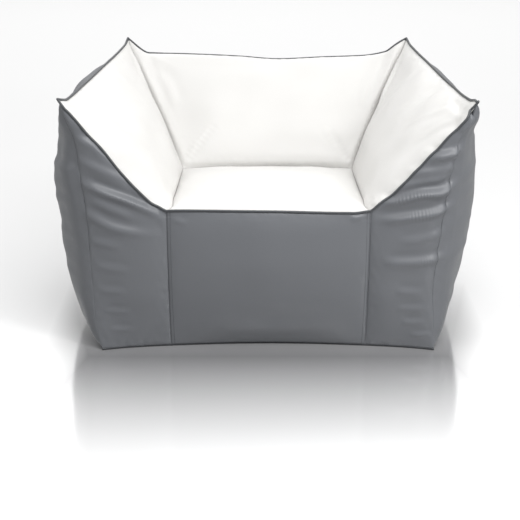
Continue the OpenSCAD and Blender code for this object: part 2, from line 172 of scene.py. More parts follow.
def smooth_through(places: np.ndarray, values: np.ndarray, t: np.ndarray) -> np.ndarray:
    """Return a smooth curve through values at given places, with no overshoot between them.

    Args:
        places: Where the values lie, in rising order.
        values: The values.
        t: Where the curve is wanted.
    """
    gaps = np.diff(places)
    slopes = np.diff(values) / gaps
    tangent = np.zeros_like(values)
    for k in range(1, len(values) - 1):
        if slopes[k - 1] * slopes[k] > 0:
            tangent[k] = 2 * slopes[k - 1] * slopes[k] / (slopes[k - 1] + slopes[k])
    tangent[0], tangent[-1] = slopes[0] * 1.5, slopes[-1] * 1.5
    k = np.clip(np.searchsorted(places, t, side="right") - 1, 0, len(gaps) - 1)
    s = (t - places[k]) / gaps[k]
    return (
        (2 * s**3 - 3 * s**2 + 1) * values[k]
        + (s**3 - 2 * s**2 + s) * gaps[k] * tangent[k]
        + (3 * s**2 - 2 * s**3) * values[k + 1]
        + (s**3 - s**2) * gaps[k] * tangent[k + 1]
    )


def bowed(a: np.ndarray, b: np.ndarray, cells: int, bows: list[Push]) -> np.ndarray:
    """Return a seam's points from a to b, pushed off the straight line through smooth bows.

    Args:
        a: The seam's first point.
        b: The seam's last point.
        cells: How many cells the seam is cut into.
        bows: Pairs of a place along the seam, from 0 to 1, and how far it is pushed there, in millimetres.
    """
    t = np.linspace(0, 1, cells + 1)[:, None]
    line = a + (b - a) * t
    if not bows:
        return line
    places = np.array([0.0] + [bow[0] for bow in bows] + [1.0])
    pushes = np.array([(0.0, 0.0, 0.0)] + [bow[1] for bow in bows] + [(0.0, 0.0, 0.0)]) * MM
    return line + np.stack([smooth_through(places, pushes[:, k], t[:, 0]) for k in range(3)], axis=1)


def coons(bottom: np.ndarray, top: np.ndarray, left: np.ndarray, right: np.ndarray) -> np.ndarray:
    """Return the grid of points between four seams.

    Args:
        bottom: The seam under the panel, from left to right.
        top: The seam over it, from left to right.
        left: The seam at its left, upwards.
        right: The seam at its right, upwards.
    """
    u = np.linspace(0, 1, len(bottom))[None, :, None]
    v = np.linspace(0, 1, len(left))[:, None, None]
    return (
        (1 - v) * bottom[None] + v * top[None] + (1 - u) * left[:, None] + u * right[:, None]
        - (1 - v) * ((1 - u) * bottom[0] + u * bottom[-1])
        - v * ((1 - u) * top[0] + u * top[-1])
    )


def sampled(grid: np.ndarray, places: np.ndarray) -> np.ndarray:
    """Return a grid's rows sampled smoothly at other places.

    Args:
        grid: The grid, or a seam's points.
        places: Where its rows are wanted, counted in rows.
    """
    k = np.clip(np.floor(places).astype(int), 0, len(grid) - 2)
    s = (places - k).reshape([-1] + [1] * (grid.ndim - 1))
    wide = np.concatenate([2 * grid[:1] - grid[1:2], grid, 2 * grid[-1:] - grid[-2:-1]])
    p0, p1, p2, p3 = wide[k], wide[k + 1], wide[k + 2], wide[k + 3]
    return p1 + 0.5 * s * (p2 - p0 + s * (2 * p0 - 5 * p1 + 4 * p2 - p3 + s * (3 * (p1 - p2) + p3 - p0)))


def unit(vectors: np.ndarray) -> np.ndarray:
    """Return vectors scaled to length 1."""
    return vectors / np.linalg.norm(vectors, axis=-1, keepdims=True)


def ripples(points: np.ndarray, seed: int, longest: float, shortest: float, waves: int = 14) -> np.ndarray:
    """Return a soft uneven field between about -1 and 1 at the points, the same on every run.

    Args:
        points: Where it is wanted.
        seed: Which field.
        longest: Its longest wave, in metres.
        shortest: Its shortest wave, in metres.
        waves: How many waves it is made of.
    """
    dice = np.random.default_rng(seed)
    field_sum = np.zeros(points.shape[:-1])
    for _ in range(waves):
        way = unit(dice.normal(size=3))
        length = dice.uniform(shortest, longest)
        field_sum += np.sin(points @ way * (2 * math.pi / length) + dice.uniform(0, 2 * math.pi))
    return field_sum / math.sqrt(waves)


@dataclass(frozen=True)
class Cut:
    """How a panel is cut.

    Attributes:
        crown: How far it stands out at its middle, in millimetres.
        fullness: How round its crown is, from 0.5, an ellipse, to 1, a sine.
        growth: How much larger than its frame the cloth is cut, as a share.
        ease: How uneven its cloth lies, in millimetres.
    """

    crown: float
    fullness: float
    growth: float
    ease: float


@dataclass
class Panel:
    """One sewn panel: a grid of points between four seams, crowned outwards.

    Attributes:
        grid: Its points, in rows.
        runs: The runs that its columns and its rows follow.
        cut: How it is cut.
        normals: Which way it faces at each point.
    """

    grid: np.ndarray
    runs: tuple[Run, Run]
    cut: Cut
    normals: np.ndarray | None = None

    def inflate(self) -> None:
        """Stand the panel's points out from its seams by its crown."""
        rows, columns = self.grid.shape[:2]
        u = np.linspace(0, 1, columns)[None, :]
        v = np.linspace(0, 1, rows)[:, None]
        across = self.grid[rows // 2, -1] - self.grid[rows // 2, 0]
        up = self.grid[-1, columns // 2] - self.grid[0, columns // 2]
        dome = (4 * u * (1 - u) * 4 * v * (1 - v)) ** self.cut.fullness
        self.grid = self.grid + self.cut.crown * MM * dome[..., None] * unit(np.cross(across, up))

    def refine(self) -> None:
        """Cut the panel's cells finer, with closer lines beside its seams."""
        down, across = (run.places(cells - 1) for run, cells in zip(self.runs[::-1], self.grid.shape))
        self.grid, normals = (
            sampled(sampled(grid, down).swapaxes(0, 1), across).swapaxes(0, 1)
            for grid in (self.grid, self.normals)
        )
        self.normals = unit(normals)

    def seam_distance(self) -> np.ndarray:
        """Return how far each point lies from the nearest seam, along the cloth."""
        near = np.full(self.grid.shape[:2], 1e9)
        for axis in (0, 1):
            steps = np.linalg.norm(np.diff(self.grid, axis=axis), axis=-1)
            lengths = np.insert(np.cumsum(steps, axis=axis), 0, 0.0, axis=axis)
            whole = lengths.take([-1], axis=axis)
            near = np.minimum(near, np.minimum(lengths, whole - lengths))
        return near


# ---------------------------------------------------------------- folds

Place = tuple[float, float, float]
FRONT_FACE = -350.0
FOLD_SAMPLES = 40
FOLD_TAPER = 0.22
FOLD_DEPTH = 0.045
HOLLOW_PLACE = 1.45
HOLLOW_SPREAD = 1.2


@dataclass(frozen=True)
class Fold:
    """One soft fold in the cover: a ridge along a line, with a hollow beside it.

    Attributes:
        line: Points along the ridge, in millimetres.
        height: How high the ridge stands, in millimetres. A negative height is a crease.
        width: Half the width of the ridge, in millimetres.
        hollow: The way from the ridge to its hollow.
        facing: The way that this part of the cover faces.
        share: How deep the hollow is, as a share of the height.
        start: How strong the fold is at its first point, from 0 to 1.
        end: How strong it is at its last point.
    """

    line: tuple[Place, ...]
    height: float
    width: float
    hollow: Place = (0.0, 0.0, 1.0)
    facing: Place = (0.0, -1.0, 0.0)
    share: float = 0.6
    start: float = 0.0
    end: float = 0.0

    def lift(self, points: np.ndarray) -> np.ndarray:
        """Return how far the fold lifts the cover at each point, in metres.

        Args:
            points: The cover's points, as rows.
        """
        lifted = np.zeros(len(points))
        knots = np.array(self.line) * MM
        line = sampled(knots, np.linspace(0, len(knots) - 1, FOLD_SAMPLES))
        facing = unit(np.array(self.facing))
        reach = 4 * self.width * MM
        inside = np.all((points > line.min(0) - reach - 0.05) & (points < line.max(0) + reach + 0.05), axis=1)
        near = points[inside]
        if not len(near):
            return lifted
        gaps = near[:, None] - line[None]
        depth = gaps @ facing
        flat = gaps - depth[..., None] * facing
        distance = np.linalg.norm(flat, axis=-1)
        nearest = np.argmin(distance, axis=1)
        row = np.arange(len(near))
        t = nearest / (len(line) - 1)
        sign = np.where(flat[row, nearest] @ unit(np.array(self.hollow)) > 0, 1.0, -1.0)
        s = sign * distance[row, nearest] / (self.width * MM)
        first = 1 - np.exp(-((t / FOLD_TAPER) ** 2)) * (1 - self.start)
        last = 1 - np.exp(-(((1 - t) / FOLD_TAPER) ** 2)) * (1 - self.end)
        fade = np.exp(-((depth[row, nearest] / FOLD_DEPTH) ** 2))
        wave = np.exp(-(s**2)) - self.share * np.exp(-((s - HOLLOW_PLACE) ** 2) / HOLLOW_SPREAD)
        lifted[inside] = self.height * MM * wave * (first * last) * fade
        return lifted


def on_front(height: float, width: float, *points: tuple[float, float], **more: object) -> Fold:
    """Return a fold on the front of the chair.

    Args:
        height: How high its ridge stands, in millimetres.
        width: Half the width of its ridge, in millimetres.
        points: Pairs of the distance to the right and the height along its ridge, in millimetres.
        more: The fold's other values.
    """
    return Fold(tuple((x, FRONT_FACE, z) for x, z in points), height, width, **more)


def on_side(sign: int, height: float, width: float, *points: Place, **more: object) -> Fold:
    """Return a fold on a side of the chair.

    Args:
        sign: 1 for the right-hand side, -1 for the left.
        height: How high its ridge stands, in millimetres.
        width: Half the width of its ridge, in millimetres.
        points: The distance out, the depth from front to back and the height of each point, in millimetres.
        more: The fold's other values.
    """
    line = tuple((sign * x, y, z) for x, y, z in points)
    return Fold(line, height, width, facing=(float(sign), 0.0, 0.0), **more)


IN_RIGHT, IN_LEFT = (-0.8, 0.0, 0.6), (0.8, 0.0, 0.6)
BACKREST, BEHIND = (0.0, -0.9, 0.45), (0.0, 1.0, 0.0)
FORWARD, TO_RIGHT, TO_LEFT = (0, -1, 0), (1, 0, 0), (-1, 0, 0)

FOLDS: tuple[Fold, ...] = (
    on_side(1, 8, 34, (505, -180, 590), (505, -40, 580), (485, 110, 590), (455, 250, 605), share=0.0),
    on_side(-1, 11, 34, (505, -180, 590), (505, -40, 580), (485, 110, 590), (455, 250, 605), share=0.0),
    on_side(1, 17, 34, (500, -335, 600), (520, -270, 585), (530, -180, 570), share=0.0, start=1),
    on_side(-1, 15, 34, (500, -335, 595), (520, -270, 575), (530, -160, 560), share=0.0, start=1),
    on_side(-1, 12, 70, (500, -320, 440), (530, -240, 430), (545, -100, 430), share=0.0, start=1),
    on_front(12.5, 11, (262, 388), (300, 396), (363, 416), (412, 421), (440, 434), (464, 446), start=0.3),
    on_front(9.5, 11, (258, 348), (298, 352), (337, 359), (398, 370), (436, 382), (460, 394), start=0.2),
    on_front(7.0, 12, (270, 246), (310, 242), (360, 243), (420, 250), (450, 262)),
    on_front(4.5, 12, (300, 300), (352, 300), (405, 312), (448, 322)),
    on_front(3.2, 10, (310, 164), (345, 162), (390, 160)),
    on_front(2.8, 9, (315, 114), (356, 115), (402, 118)),
    on_front(3.0, 8, (330, 76), (360, 77), (400, 81)),
    on_front(2.8, 7, (352, 42), (385, 43), (415, 47)),
    on_front(9.5, 12, (372, 500), (410, 508), (446, 520), (470, 545)),
    on_front(5.0, 11, (330, 462), (372, 468), (420, 478), (462, 494)),
    on_front(3.8, 9, (300, 420), (345, 440), (395, 452), (440, 462)),
    on_front(3.8, 9, (448, 560), (460, 590), (470, 618), hollow=(-1.0, 0.0, 0.3)),
    on_front(10.0, 11, (-462, 452), (-430, 437), (-390, 420), (-345, 402), (-296, 378), (-262, 356), end=0.3),
    on_front(4.0, 11, (-440, 406), (-398, 388), (-353, 369), (-316, 352)),
    on_front(6.0, 12, (-462, 372), (-428, 359), (-380, 335), (-330, 322), (-280, 314), end=0.2),
    on_front(3.0, 11, (-440, 298), (-400, 290), (-350, 283)),
    on_front(2.6, 11, (-430, 232), (-390, 226), (-330, 222)),
    on_front(2.4, 10, (-424, 168), (-390, 165), (-345, 163)),
    on_front(2.0, 9, (-416, 110), (-380, 107), (-335, 106)),
    on_front(2.2, 8, (-404, 58), (-370, 56), (-330, 55)),
    on_front(4.5, 11, (-462, 556), (-442, 548), (-412, 530), (-380, 500)),
    on_front(3.6, 11, (-470, 508), (-430, 490), (-380, 466), (-330, 438)),
    on_front(3.2, 8, (196, 352), (218, 356), (240, 362)),
    on_front(2.0, 8, (-238, 352), (-214, 346), (-190, 344)),
    on_front(2.0, 22, (-150, 60), (-40, 52), (80, 56), (160, 66)),
    on_side(1, 4.3, 15, (520, -335, 448), (535, -240, 456), (548, -120, 440), start=0.8),
    on_side(1, 3.7, 14, (515, -338, 396), (530, -240, 398), (545, -140, 380), start=0.8),
    on_side(1, 2.5, 15, (505, -335, 330), (520, -250, 322), (535, -150, 300), start=0.5),
    on_side(1, 2.2, 15, (490, -335, 262), (510, -240, 250), (520, -120, 240), start=0.4),
    on_side(1, 1.9, 13, (470, -330, 120), (490, -230, 108), (500, -120, 112)),
    on_side(1, 2.2, 13, (450, -300, 60), (470, -180, 52), (478, -20, 60)),
    on_side(1, 1.9, 13, (470, -60, 48), (476, 80, 54), (466, 220, 62)),
    on_side(1, 3.1, 15, (500, -310, 560), (520, -220, 530), (540, -120, 505)),
    on_side(1, 2.2, 22, (548, -60, 520), (545, 60, 500), (535, 180, 520)),
    on_side(1, 3.1, 16, (470, 360, 470), (500, 280, 440), (530, 180, 400), start=0.5),
    on_side(1, 2.8, 16, (455, 360, 350), (490, 270, 330), (520, 160, 300), start=0.5),
    on_side(1, 2.2, 16, (440, 355, 220), (470, 270, 205), (500, 160, 200), start=0.3),
    on_side(1, 2.8, 15, (430, 350, 575), (470, 280, 555), (510, 180, 560)),
    on_side(-1, 5.0, 14, (510, -338, 470), (530, -240, 462), (545, -120, 438), start=0.8),
    on_side(-1, 3.4, 15, (500, -335, 386), (520, -240, 372), (540, -130, 348), start=0.7),
    on_side(-1, 2.5, 15, (495, -335, 300), (515, -240, 286), (530, -120, 262), start=0.4),
    on_side(-1, 2.2, 15, (480, -330, 190), (500, -230, 180), (510, -110, 176)),
    on_side(-1, 2.2, 13, (450, -300, 66), (470, -180, 56), (478, -20, 58)),
    on_side(-1, 1.9, 13, (470, -40, 50), (476, 90, 58), (464, 230, 66)),
    on_side(-1, 3.1, 15, (495, -310, 566), (520, -220, 540), (540, -110, 520)),
    on_side(-1, 3.1, 16, (470, 360, 450), (500, 270, 425), (530, 170, 395), start=0.5),
    on_side(-1, 2.8, 16, (450, 358, 320), (485, 270, 296), (515, 160, 275), start=0.5),
    on_side(-1, 2.8, 15, (435, 350, 560), (475, 270, 548), (515, 170, 560)),
    Fold(((400, 372, 640), (372, 330, 590), (340, 270, 532), (312, 205, 478)), 5.0, 13, FORWARD, IN_RIGHT),
    Fold(((452, 150, 610), (410, 160, 566), (352, 176, 500), (300, 190, 440)), 4.5, 15, FORWARD, IN_RIGHT),
    Fold(((458, -40, 590), (410, -20, 545), (352, 20, 480)), 3.5, 16, FORWARD, IN_RIGHT),
    Fold(((470, -250, 610), (420, -180, 556), (366, -120, 500)), 3.5, 14, FORWARD, IN_RIGHT),
    Fold(((462, -300, 596), (416, -270, 540), (372, -250, 490)), 3.0, 12, FORWARD, IN_RIGHT),
    Fold(((-400, 372, 640), (-366, 330, 585), (-330, 280, 525)), 3.5, 13, FORWARD, IN_LEFT),
    Fold(((-452, 120, 606), (-404, 130, 560), (-350, 150, 500)), 3.0, 17, FORWARD, IN_LEFT),
    Fold(((-462, -270, 604), (-410, -220, 548), (-360, -170, 495)), 3.0, 14, FORWARD, IN_LEFT),
    Fold(((-340, 360, 590), (-290, 330, 530), (-262, 280, 470)), 4.0, 15, TO_RIGHT, BACKREST),
    Fold(((340, 360, 590), (292, 330, 530), (264, 280, 470)), 4.5, 15, TO_LEFT, BACKREST),
    Fold(((-330, 395, 520), (-200, 420, 470), (-60, 432, 452)), 4.0, 20, facing=BEHIND),
    Fold(((340, 395, 540), (220, 420, 486), (90, 432, 462)), 4.0, 20, facing=BEHIND),
    Fold(((-385, 385, 420), (-300, 410, 380), (-180, 428, 360)), 4.5, 18, facing=BEHIND, start=0.4),
    Fold(((388, 385, 400), (300, 410, 366), (170, 428, 350)), 4.5, 18, facing=BEHIND, start=0.4),
    Fold(((-380, 385, 290), (-280, 405, 262), (-150, 418, 250)), 3.6, 17, facing=BEHIND, start=0.4),
    Fold(((384, 385, 276), (290, 405, 250), (160, 418, 240)), 3.6, 17, facing=BEHIND, start=0.4),
    Fold(
        ((-300, 372, 130), (-150, 380, 136), (20, 384, 132), (190, 380, 138), (310, 372, 130)), 3.0, 12,
        facing=BEHIND,
    ),
)


# ---------------------------------------------------------------- mesh helpers


def piece_from(name: str, made: bmesh.types.BMesh, smooth: bool = True) -> bpy.types.Object:
    """Turn a bmesh into a piece, and free the bmesh.

    Args:
        name: The piece's name.
        made: The bmesh.
        smooth: Whether its faces are shaded smooth.
    """
    mesh = bpy.data.meshes.new(name)
    made.to_mesh(mesh)
    made.free()
    if smooth:
        mesh.shade_smooth()
    piece = bpy.data.objects.new(name, mesh)
    bpy.context.scene.collection.objects.link(piece)
    return piece


def add_grid(made: bmesh.types.BMesh, grid: np.ndarray) -> None:
    """Add a grid of faces to a bmesh, laid through the grid's points, with UVs in metres.

    Args:
        made: The bmesh.
        grid: The points, in rows.
    """
    rows, columns = grid.shape[:2]
    uv = made.loops.layers.uv.verify()
    old_faces = len(made.faces)
    laid = bmesh.ops.create_grid(made, x_segments=columns - 1, y_segments=rows - 1, size=1, calc_uvs=True)
    wide = float(np.linalg.norm(np.diff(grid[rows // 2], axis=0), axis=1).sum())
    tall = float(np.linalg.norm(np.diff(grid[:, columns // 2], axis=0), axis=1).sum())
    made.faces.ensure_lookup_table()
    for face in made.faces[old_faces:]:
        for loop in face.loops:
            loop[uv].uv = (loop[uv].uv[0] * wide, loop[uv].uv[1] * tall)
    for vertex in laid["verts"]:
        i = round((vertex.co.x + 1) / 2 * (columns - 1))
        j = round((vertex.co.y + 1) / 2 * (rows - 1))
        vertex.co = grid[j, i]


def nearest_key(places: dict[tuple[int, ...], int], key: np.ndarray) -> int:
    """Return the vertex whose rounded place is the key, or a neighbour of it.

    Args:
        places: The vertex at each rounded place.
        key: The rounded place wanted.
    """
    for step in itertools.product((0, -1, 1), repeat=3):
        near = tuple(key + step)
        if near in places:
            return places[near]
    raise KeyError(f"no vertex near {key}")


def smooth_normals(mesh: bpy.types.Mesh, points: np.ndarray, passes: int = 2) -> np.ndarray:
    """Return each vertex's normal, blended with its neighbours' so that it turns gently across a seam.

    Args:
        mesh: The mesh, for its edges and faces.
        points: Where its vertices are.
        passes: How many times the normals are blended.
    """
    mesh.vertices.foreach_set("co", points.ravel())
    mesh.update()
    normals = mesh_points(mesh, "normal")
    ends = np.empty(len(mesh.edges) * 2, dtype=int)
    mesh.edges.foreach_get("vertices", ends)
    a, b = ends.reshape(-1, 2).T
    for _ in range(passes):
        total = normals.copy()
        np.add.at(total, a, normals[b])
        np.add.at(total, b, normals[a])
        normals = unit(total)
    return normals


def thicken(piece: bpy.types.Object, thickness: float) -> None:
    """Give a sheet its thickness, inwards.

    Args:
        piece: The sheet.
        thickness: The thickness, in metres.
    """
    solid = piece.modifiers.new("thickness", "SOLIDIFY")
    solid.thickness = thickness
    solid.offset = -1.0
    solid.use_quality_normals = True


def fasten(piece: bpy.types.Object, finish: Finish, dye: Dye, *nodes: str, body: str = COVER) -> None:
    """Dress a piece, fix it to its body and hide the CAD nodes that it stands for.

    Args:
        piece: The piece.
        finish: Its finish. The record has no slot for sewing thread, which goes with the grey leatherette.
        dye: The finishes.
        nodes: The CAD nodes that it stands for.
        body: The body that it moves with.
    """
    piece.data.materials.clear()
    piece.data.materials.append(dye(finish))
    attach(piece, body)
    if nodes:
        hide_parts(*nodes)
    LOG.info("made %s", piece.name)


def sew_sheet(
    name: str, grid: np.ndarray, thickness: float, finish: Finish, dye: Dye, node: str,
    holes: Iterable[tuple[np.ndarray, np.ndarray]] = (),
) -> None:
    """Make a stretched sheet through a grid's points.

    Args:
        name: The piece's name.
        grid: The points, in rows.
        thickness: Its thickness, in metres.
        finish: Its finish.
        dye: The finishes.
        node: The CAD node that it stands for.
        holes: The middle of each hole for a vent, and the way that the sheet faces there.
    """
    made = bmesh.new()
    add_grid(made, grid)
    for centre, normal in holes:
        open_hole(made, centre, normal)
    piece = piece_from(name, made)
    thicken(piece, thickness)
    fasten(piece, finish, dye, node)


# ---------------------------------------------------------------- the sewn cover

SIDES = (("right", 1), ("left", -1))
SIDE_BOWS = {
    "right": (
        ((0.06, 4, 0, -2), (0.3, 5, -4, -9), (0.7, 6, -4, -6), (0.9, 10, -2, -14)),
        ((0.1, -12, 0, 0), (0.3, -32, 0, 0), (0.6, -36, 0, 0), (0.85, -32, 0, 0), (0.95, -16, 0, 0)),
        ((0.03, -2, 0, -10), (0.12, 2, 0, -24), (0.4, 8, 0, -30), (0.7, 6, 0, -22), (0.94, 2, 0, -12)),
    ),
    "left": (
        ((0.05, 2, 0, -5), (0.14, 5, -3, -13), (0.3, 8, -4, -14), (0.65, 5, -4, -4), (0.93, 3, -2, -6)),
        ((0.1, 6, 0, 0), (0.3, -4, 0, 0), (0.6, -20, 0, 0), (0.8, -22, 0, 0), (0.93, -16, 0, 0)),
        ((0.03, -2, 0, -8), (0.12, 2, 0, -20), (0.4, 8, 0, -26), (0.75, 6, 0, -22), (0.95, 2, 0, -14)),
    ),
}
WHITE_PANELS = ("seat", "backrest", "right_arm", "left_arm")
ODD_NODES = {
    "right_wing": "front_right_wing", "left_wing": "front_left_wing",
    "back_hem": "lower_back_panel", "back_upper": "upper_back_panel",
}
EASE_SEED, PUCKER_SEED, PUCKER_SHARE = 5, 11, 0.25
BACK_RIM_SHIFT, BACK_RIM_LEAN = (0.0, 0.003, -0.0026), (0.0, 0.9, -0.5)
EYELET_LIP, EYELET_HOLE = 0.0012, 0.0062
RIM_PANELS = ("front", "right_wing", "right_side", "back_upper", "left_side", "left_wing")
CLOTH = {
    "quality": 6, "mass": 0.25, "air_damping": 2.0, "tension_stiffness": 60, "compression_stiffness": 60,
    "shear_stiffness": 30, "bending_stiffness": 0.6, "tension_damping": 10, "compression_damping": 10,
    "shear_damping": 10, "use_pressure": True, "pin_stiffness": 1.0, "shrink_min": 0.0,
    "shrink_max": -GROWTH_MOST,
}


@dataclass
class Cover:
    """The whole sewn cover: its seams, its panels, and the shape that its filling and its folds give it.

    Attributes:
        corners: Where its seams meet.
        pressure: The pressure that blows it up in the simulation.
        frames: How long the simulation runs.
        thickness: The leatherette's thickness, in metres.
        seam_hollow: How deep its seams are drawn in.
        seam_reach: How far from a seam the hollow falls away, steeply and then softly.
        ease_reach: How far from a seam its cloth starts to lie unevenly.
        ease_waves: The longest and the shortest of the waves that it lies in.
        pucker_reach: How far from a seam its puckers are.
        pucker_waves: The longest and the shortest of the puckers.
        vent_flat: The radius that a vent clamps flat, and the width round it that eases back.
        panels: Its panels by name.
        seams: Its seams by name.
        coarse: The settled cloth of each panel.
        rims: Each panel's points before its seams are drawn in.
    """

    corners: Corners
    pressure: float = 3.0
    frames: int = 24
    thickness: float = 0.002
    seam_hollow: float = 0.0018
    seam_reach: tuple[float, float] = (0.003, 0.012)
    ease_reach: float = 0.03
    ease_waves: tuple[float, float] = (0.22, 0.09)
    pucker_reach: float = 0.009
    pucker_waves: tuple[float, float] = (0.03, 0.018)
    vent_flat: tuple[float, float] = (0.012, 0.05)
    panels: dict[str, Panel] = field(default_factory=dict)
    seams: dict[str, np.ndarray] = field(default_factory=dict)
    coarse: dict[str, np.ndarray] = field(default_factory=dict)
    rims: dict[str, np.ndarray] = field(default_factory=dict)

    def lay_side_seams(self, side: str, sign: int) -> None:
        """Lay the seams of one side of the chair, bowed as listed.

        Args:
            side: The side, right or left.
            sign: 1 for the right, -1 for the left.
        """
        c = self.corners
        depth, slope, height = Run.DEPTH.cells, Run.SLOPE.cells, Run.HEIGHT.cells

        def at(point: np.ndarray) -> np.ndarray:
            return point if sign == 1 else opposite(point)

        def bows(*pushes: tuple[float, float, float, float]) -> list[Push]:
            return [(t, (sign * x, y, z)) for t, x, y, z in pushes]

        rise, wing, ridge = (bows(*pushes) for pushes in SIDE_BOWS[side])
        upper = height - HEM_CELLS - ZIP_CELLS
        rear = (
            bowed(at(c.base_rear), at(c.zip_low), HEM_CELLS, []),
            bowed(at(c.zip_low), at(c.zip_high), ZIP_CELLS, [])[1:-1],
            bowed(at(c.zip_high), at(c.back_peak), upper, bows((0.4, 10, 4, 0), (0.9, 2, 2, 0))),
        )
        crease = bows((0.12, -10, 0, -2), (0.4, 0, 0, -16), (0.8, 0, 0, -8))
        corner = bows((0.5, 0, 6, -8), (0.85, 0, 6, -6))
        laid = {
            "slope": bowed(at(c.seat_corner), at(c.arm_peak), slope, rise),
            "wing": bowed(at(c.base_front), at(c.arm_peak), height, wing),
            "ridge": bowed(at(c.arm_peak), at(c.back_peak), depth, ridge),
            "front": bowed(at(c.seam_foot), at(c.seat_corner), height, bows((0.5, 0, -12, 0))),
            "rear": np.concatenate(rear),
            "crease": bowed(at(c.seat_corner), at(c.crease_corner), depth, crease),
            "corner": bowed(at(c.crease_corner), at(c.back_peak), slope, corner),
            "foot_wing": bowed(at(c.seam_foot), at(c.base_front), slope, bows((0.6, 0, 4, 0))),
            "foot_side": bowed(at(c.base_front), at(c.base_rear), depth, bows((0.5, 16, 0, 0))),
        }
        self.seams.update({f"{side}_{name}": seam for name, seam in laid.items()})

    def lay_seams(self) -> None:
        """Lay every seam curve between the frame's corners."""
        for side, sign in SIDES:
            self.lay_side_seams(side, sign)
        c, width = self.corners, Run.WIDTH.cells
        front_rim = [(0.1, (0, -2, 1)), (0.5, (0, -6, 0)), (0.9, (0, -2, -5))]
        back_rim = [(0.02, (0, 3, -15)), (0.07, (0, 12, -44)), (0.2, (0, 20, -48)), (0.4, (0, 24, -56))]
        back_rim += [(0.54, (0, 24, -64)), (0.7, (0, 22, -58)), (0.85, (0, 20, -53)), (0.93, (0, 12, -40))]
        back_rim += [(0.97, (0, 3, -14))]

        def across(point: np.ndarray, bows: list[Push]) -> np.ndarray:
            return bowed(opposite(point), point, width, bows)

        self.seams["rim_front"] = across(c.seat_corner, front_rim)
        self.seams["rim_back"] = across(c.back_peak, back_rim)
        self.seams["back_crease"] = across(c.crease_corner, [(0.5, (0, 8, -8))])
        self.seams["foot_front"] = across(c.seam_foot, [(0.5, (0, 14, 0))])
        self.seams["foot_rear"] = across(c.base_rear, [(0.5, (0, -12, 0))])
        self.seams["zip_low"] = across(c.zip_low, [])
        self.seams["zip_high"] = across(c.zip_high, [])

    def add_panel(self, name: str, seams: Iterable[np.ndarray], runs: tuple[Run, Run], cut: Cut) -> None:
        """Lay one panel between its seams.

        Args:
            name: The panel's name.
            seams: The seams under it, over it, at its left and at its right.
            runs: The runs that its columns and its rows follow.
            cut: How it is cut.
        """
        self.panels[name] = Panel(coons(*seams), runs, cut)
        self.panels[name].inflate()

    def lay_panels(self) -> None:
        """Lay all the panels between the seams."""
        q = self.seams
        width, depth, slope, height = Run
        front = (q["foot_front"], q["rim_front"], q["left_front"], q["right_front"])
        self.add_panel("front", front, (width, height), Cut(26, 0.7, 0.004, 0.8))
        seat = (q["rim_front"], q["back_crease"], q["left_crease"], q["right_crease"])
        self.add_panel("seat", seat, (width, depth), Cut(44, 0.62, 0.012, 1.4))
        backrest = (q["back_crease"], q["rim_back"], q["left_corner"], q["right_corner"])
        self.add_panel("backrest", backrest, (width, slope), Cut(58, 0.46, 0.012, 2.2))
        pairs = (
            ("wing", ("foot_wing", "slope", "front", "wing"), (slope, height), Cut(16, 0.8, 0.02, 1.6)),
            ("side", ("foot_side", "ridge", "wing", "rear"), (depth, height), Cut(112, 0.55, 0.012, 2.4)),
            ("arm", ("slope", "corner", "crease", "ridge"), (slope, depth), Cut(44, 0.66, 0.015, 2.0)),
        )
        for (name, seams, runs, cut), (side, turn) in itertools.product(pairs, SIDES):
            under, over, *ends = (q[f"{side}_{seam}"] for seam in seams)
            self.add_panel(f"{side}_{name}", (under[::turn], over[::turn], *ends[::turn]), runs, cut)
        hem, rest = slice(HEM_CELLS + 1), slice(HEM_CELLS + ZIP_CELLS, None)
        back = (("back_hem", "foot_rear", "zip_low", hem, Cut(12, 0.8, 0.005, 0.8)),)
        back += (("back_upper", "zip_high", "rim_back", rest, Cut(66, 0.5, 0.01, 2.2)),)
        for name, under, over, part, cut in back:
            seams = (q[under][::-1], q[over][::-1], q["right_rear"][part], q["left_rear"][part])
            self.add_panel(name, seams, (width, height), cut)

    def weld(self) -> tuple[bpy.types.Object, dict[str, np.ndarray]]:
        """Join the panels into one shell.

        Returns:
            The shell, and for each panel the shell's vertex at each of its grid points.
        """
        made = bmesh.new()
        for panel in self.panels.values():
            add_grid(made, panel.grid)
        bmesh.ops.remove_doubles(made, verts=made.verts, dist=WELD)
        shell = piece_from("cover_shell", made)
        rounded = np.round(mesh_points(shell.data) / (2 * WELD)).astype(int)
        places = {tuple(key): k for k, key in enumerate(rounded)}
        found = {}
        for name, panel in self.panels.items():
            keys = np.round(panel.grid / (2 * WELD)).astype(int)
            found[name] = np.array([[nearest_key(places, key) for key in row] for row in keys])
        return shell, found

    def fill(self) -> None:
        """Blow the shell up by cloth simulation, and give each panel its shape and normals."""
        shell, found = self.weld()
        pins = np.zeros(len(shell.data.vertices))
        growth = np.zeros(len(shell.data.vertices))
        for name, index in found.items():
            growth[index] = self.panels[name].cut.growth
        for index in found.values():
            edge = np.concatenate([index[0], index[-1], index[:, 0], index[:, -1]])
            pins[edge] = 1.0
            growth[edge] = 0.0
        start = mesh_points(shell.data)
        self.run_cloth(shell, pins, growth)
        moved = mesh_points(shell.data) - start
        far = np.linalg.norm(moved, axis=1, keepdims=True)
        LOG.info("the cloth moved %.1f mm at most, %.1f mm on average", far.max() / MM, far.mean() / MM)
        points = start + moved * CLOTH_CAP / np.maximum(far, CLOTH_CAP)
        normals = smooth_normals(shell.data, points)
        for name, index in found.items():
            self.panels[name].grid = points[index]
            self.panels[name].normals = normals[index]
            self.coarse[name] = points[index]
        bpy.data.objects.remove(shell)

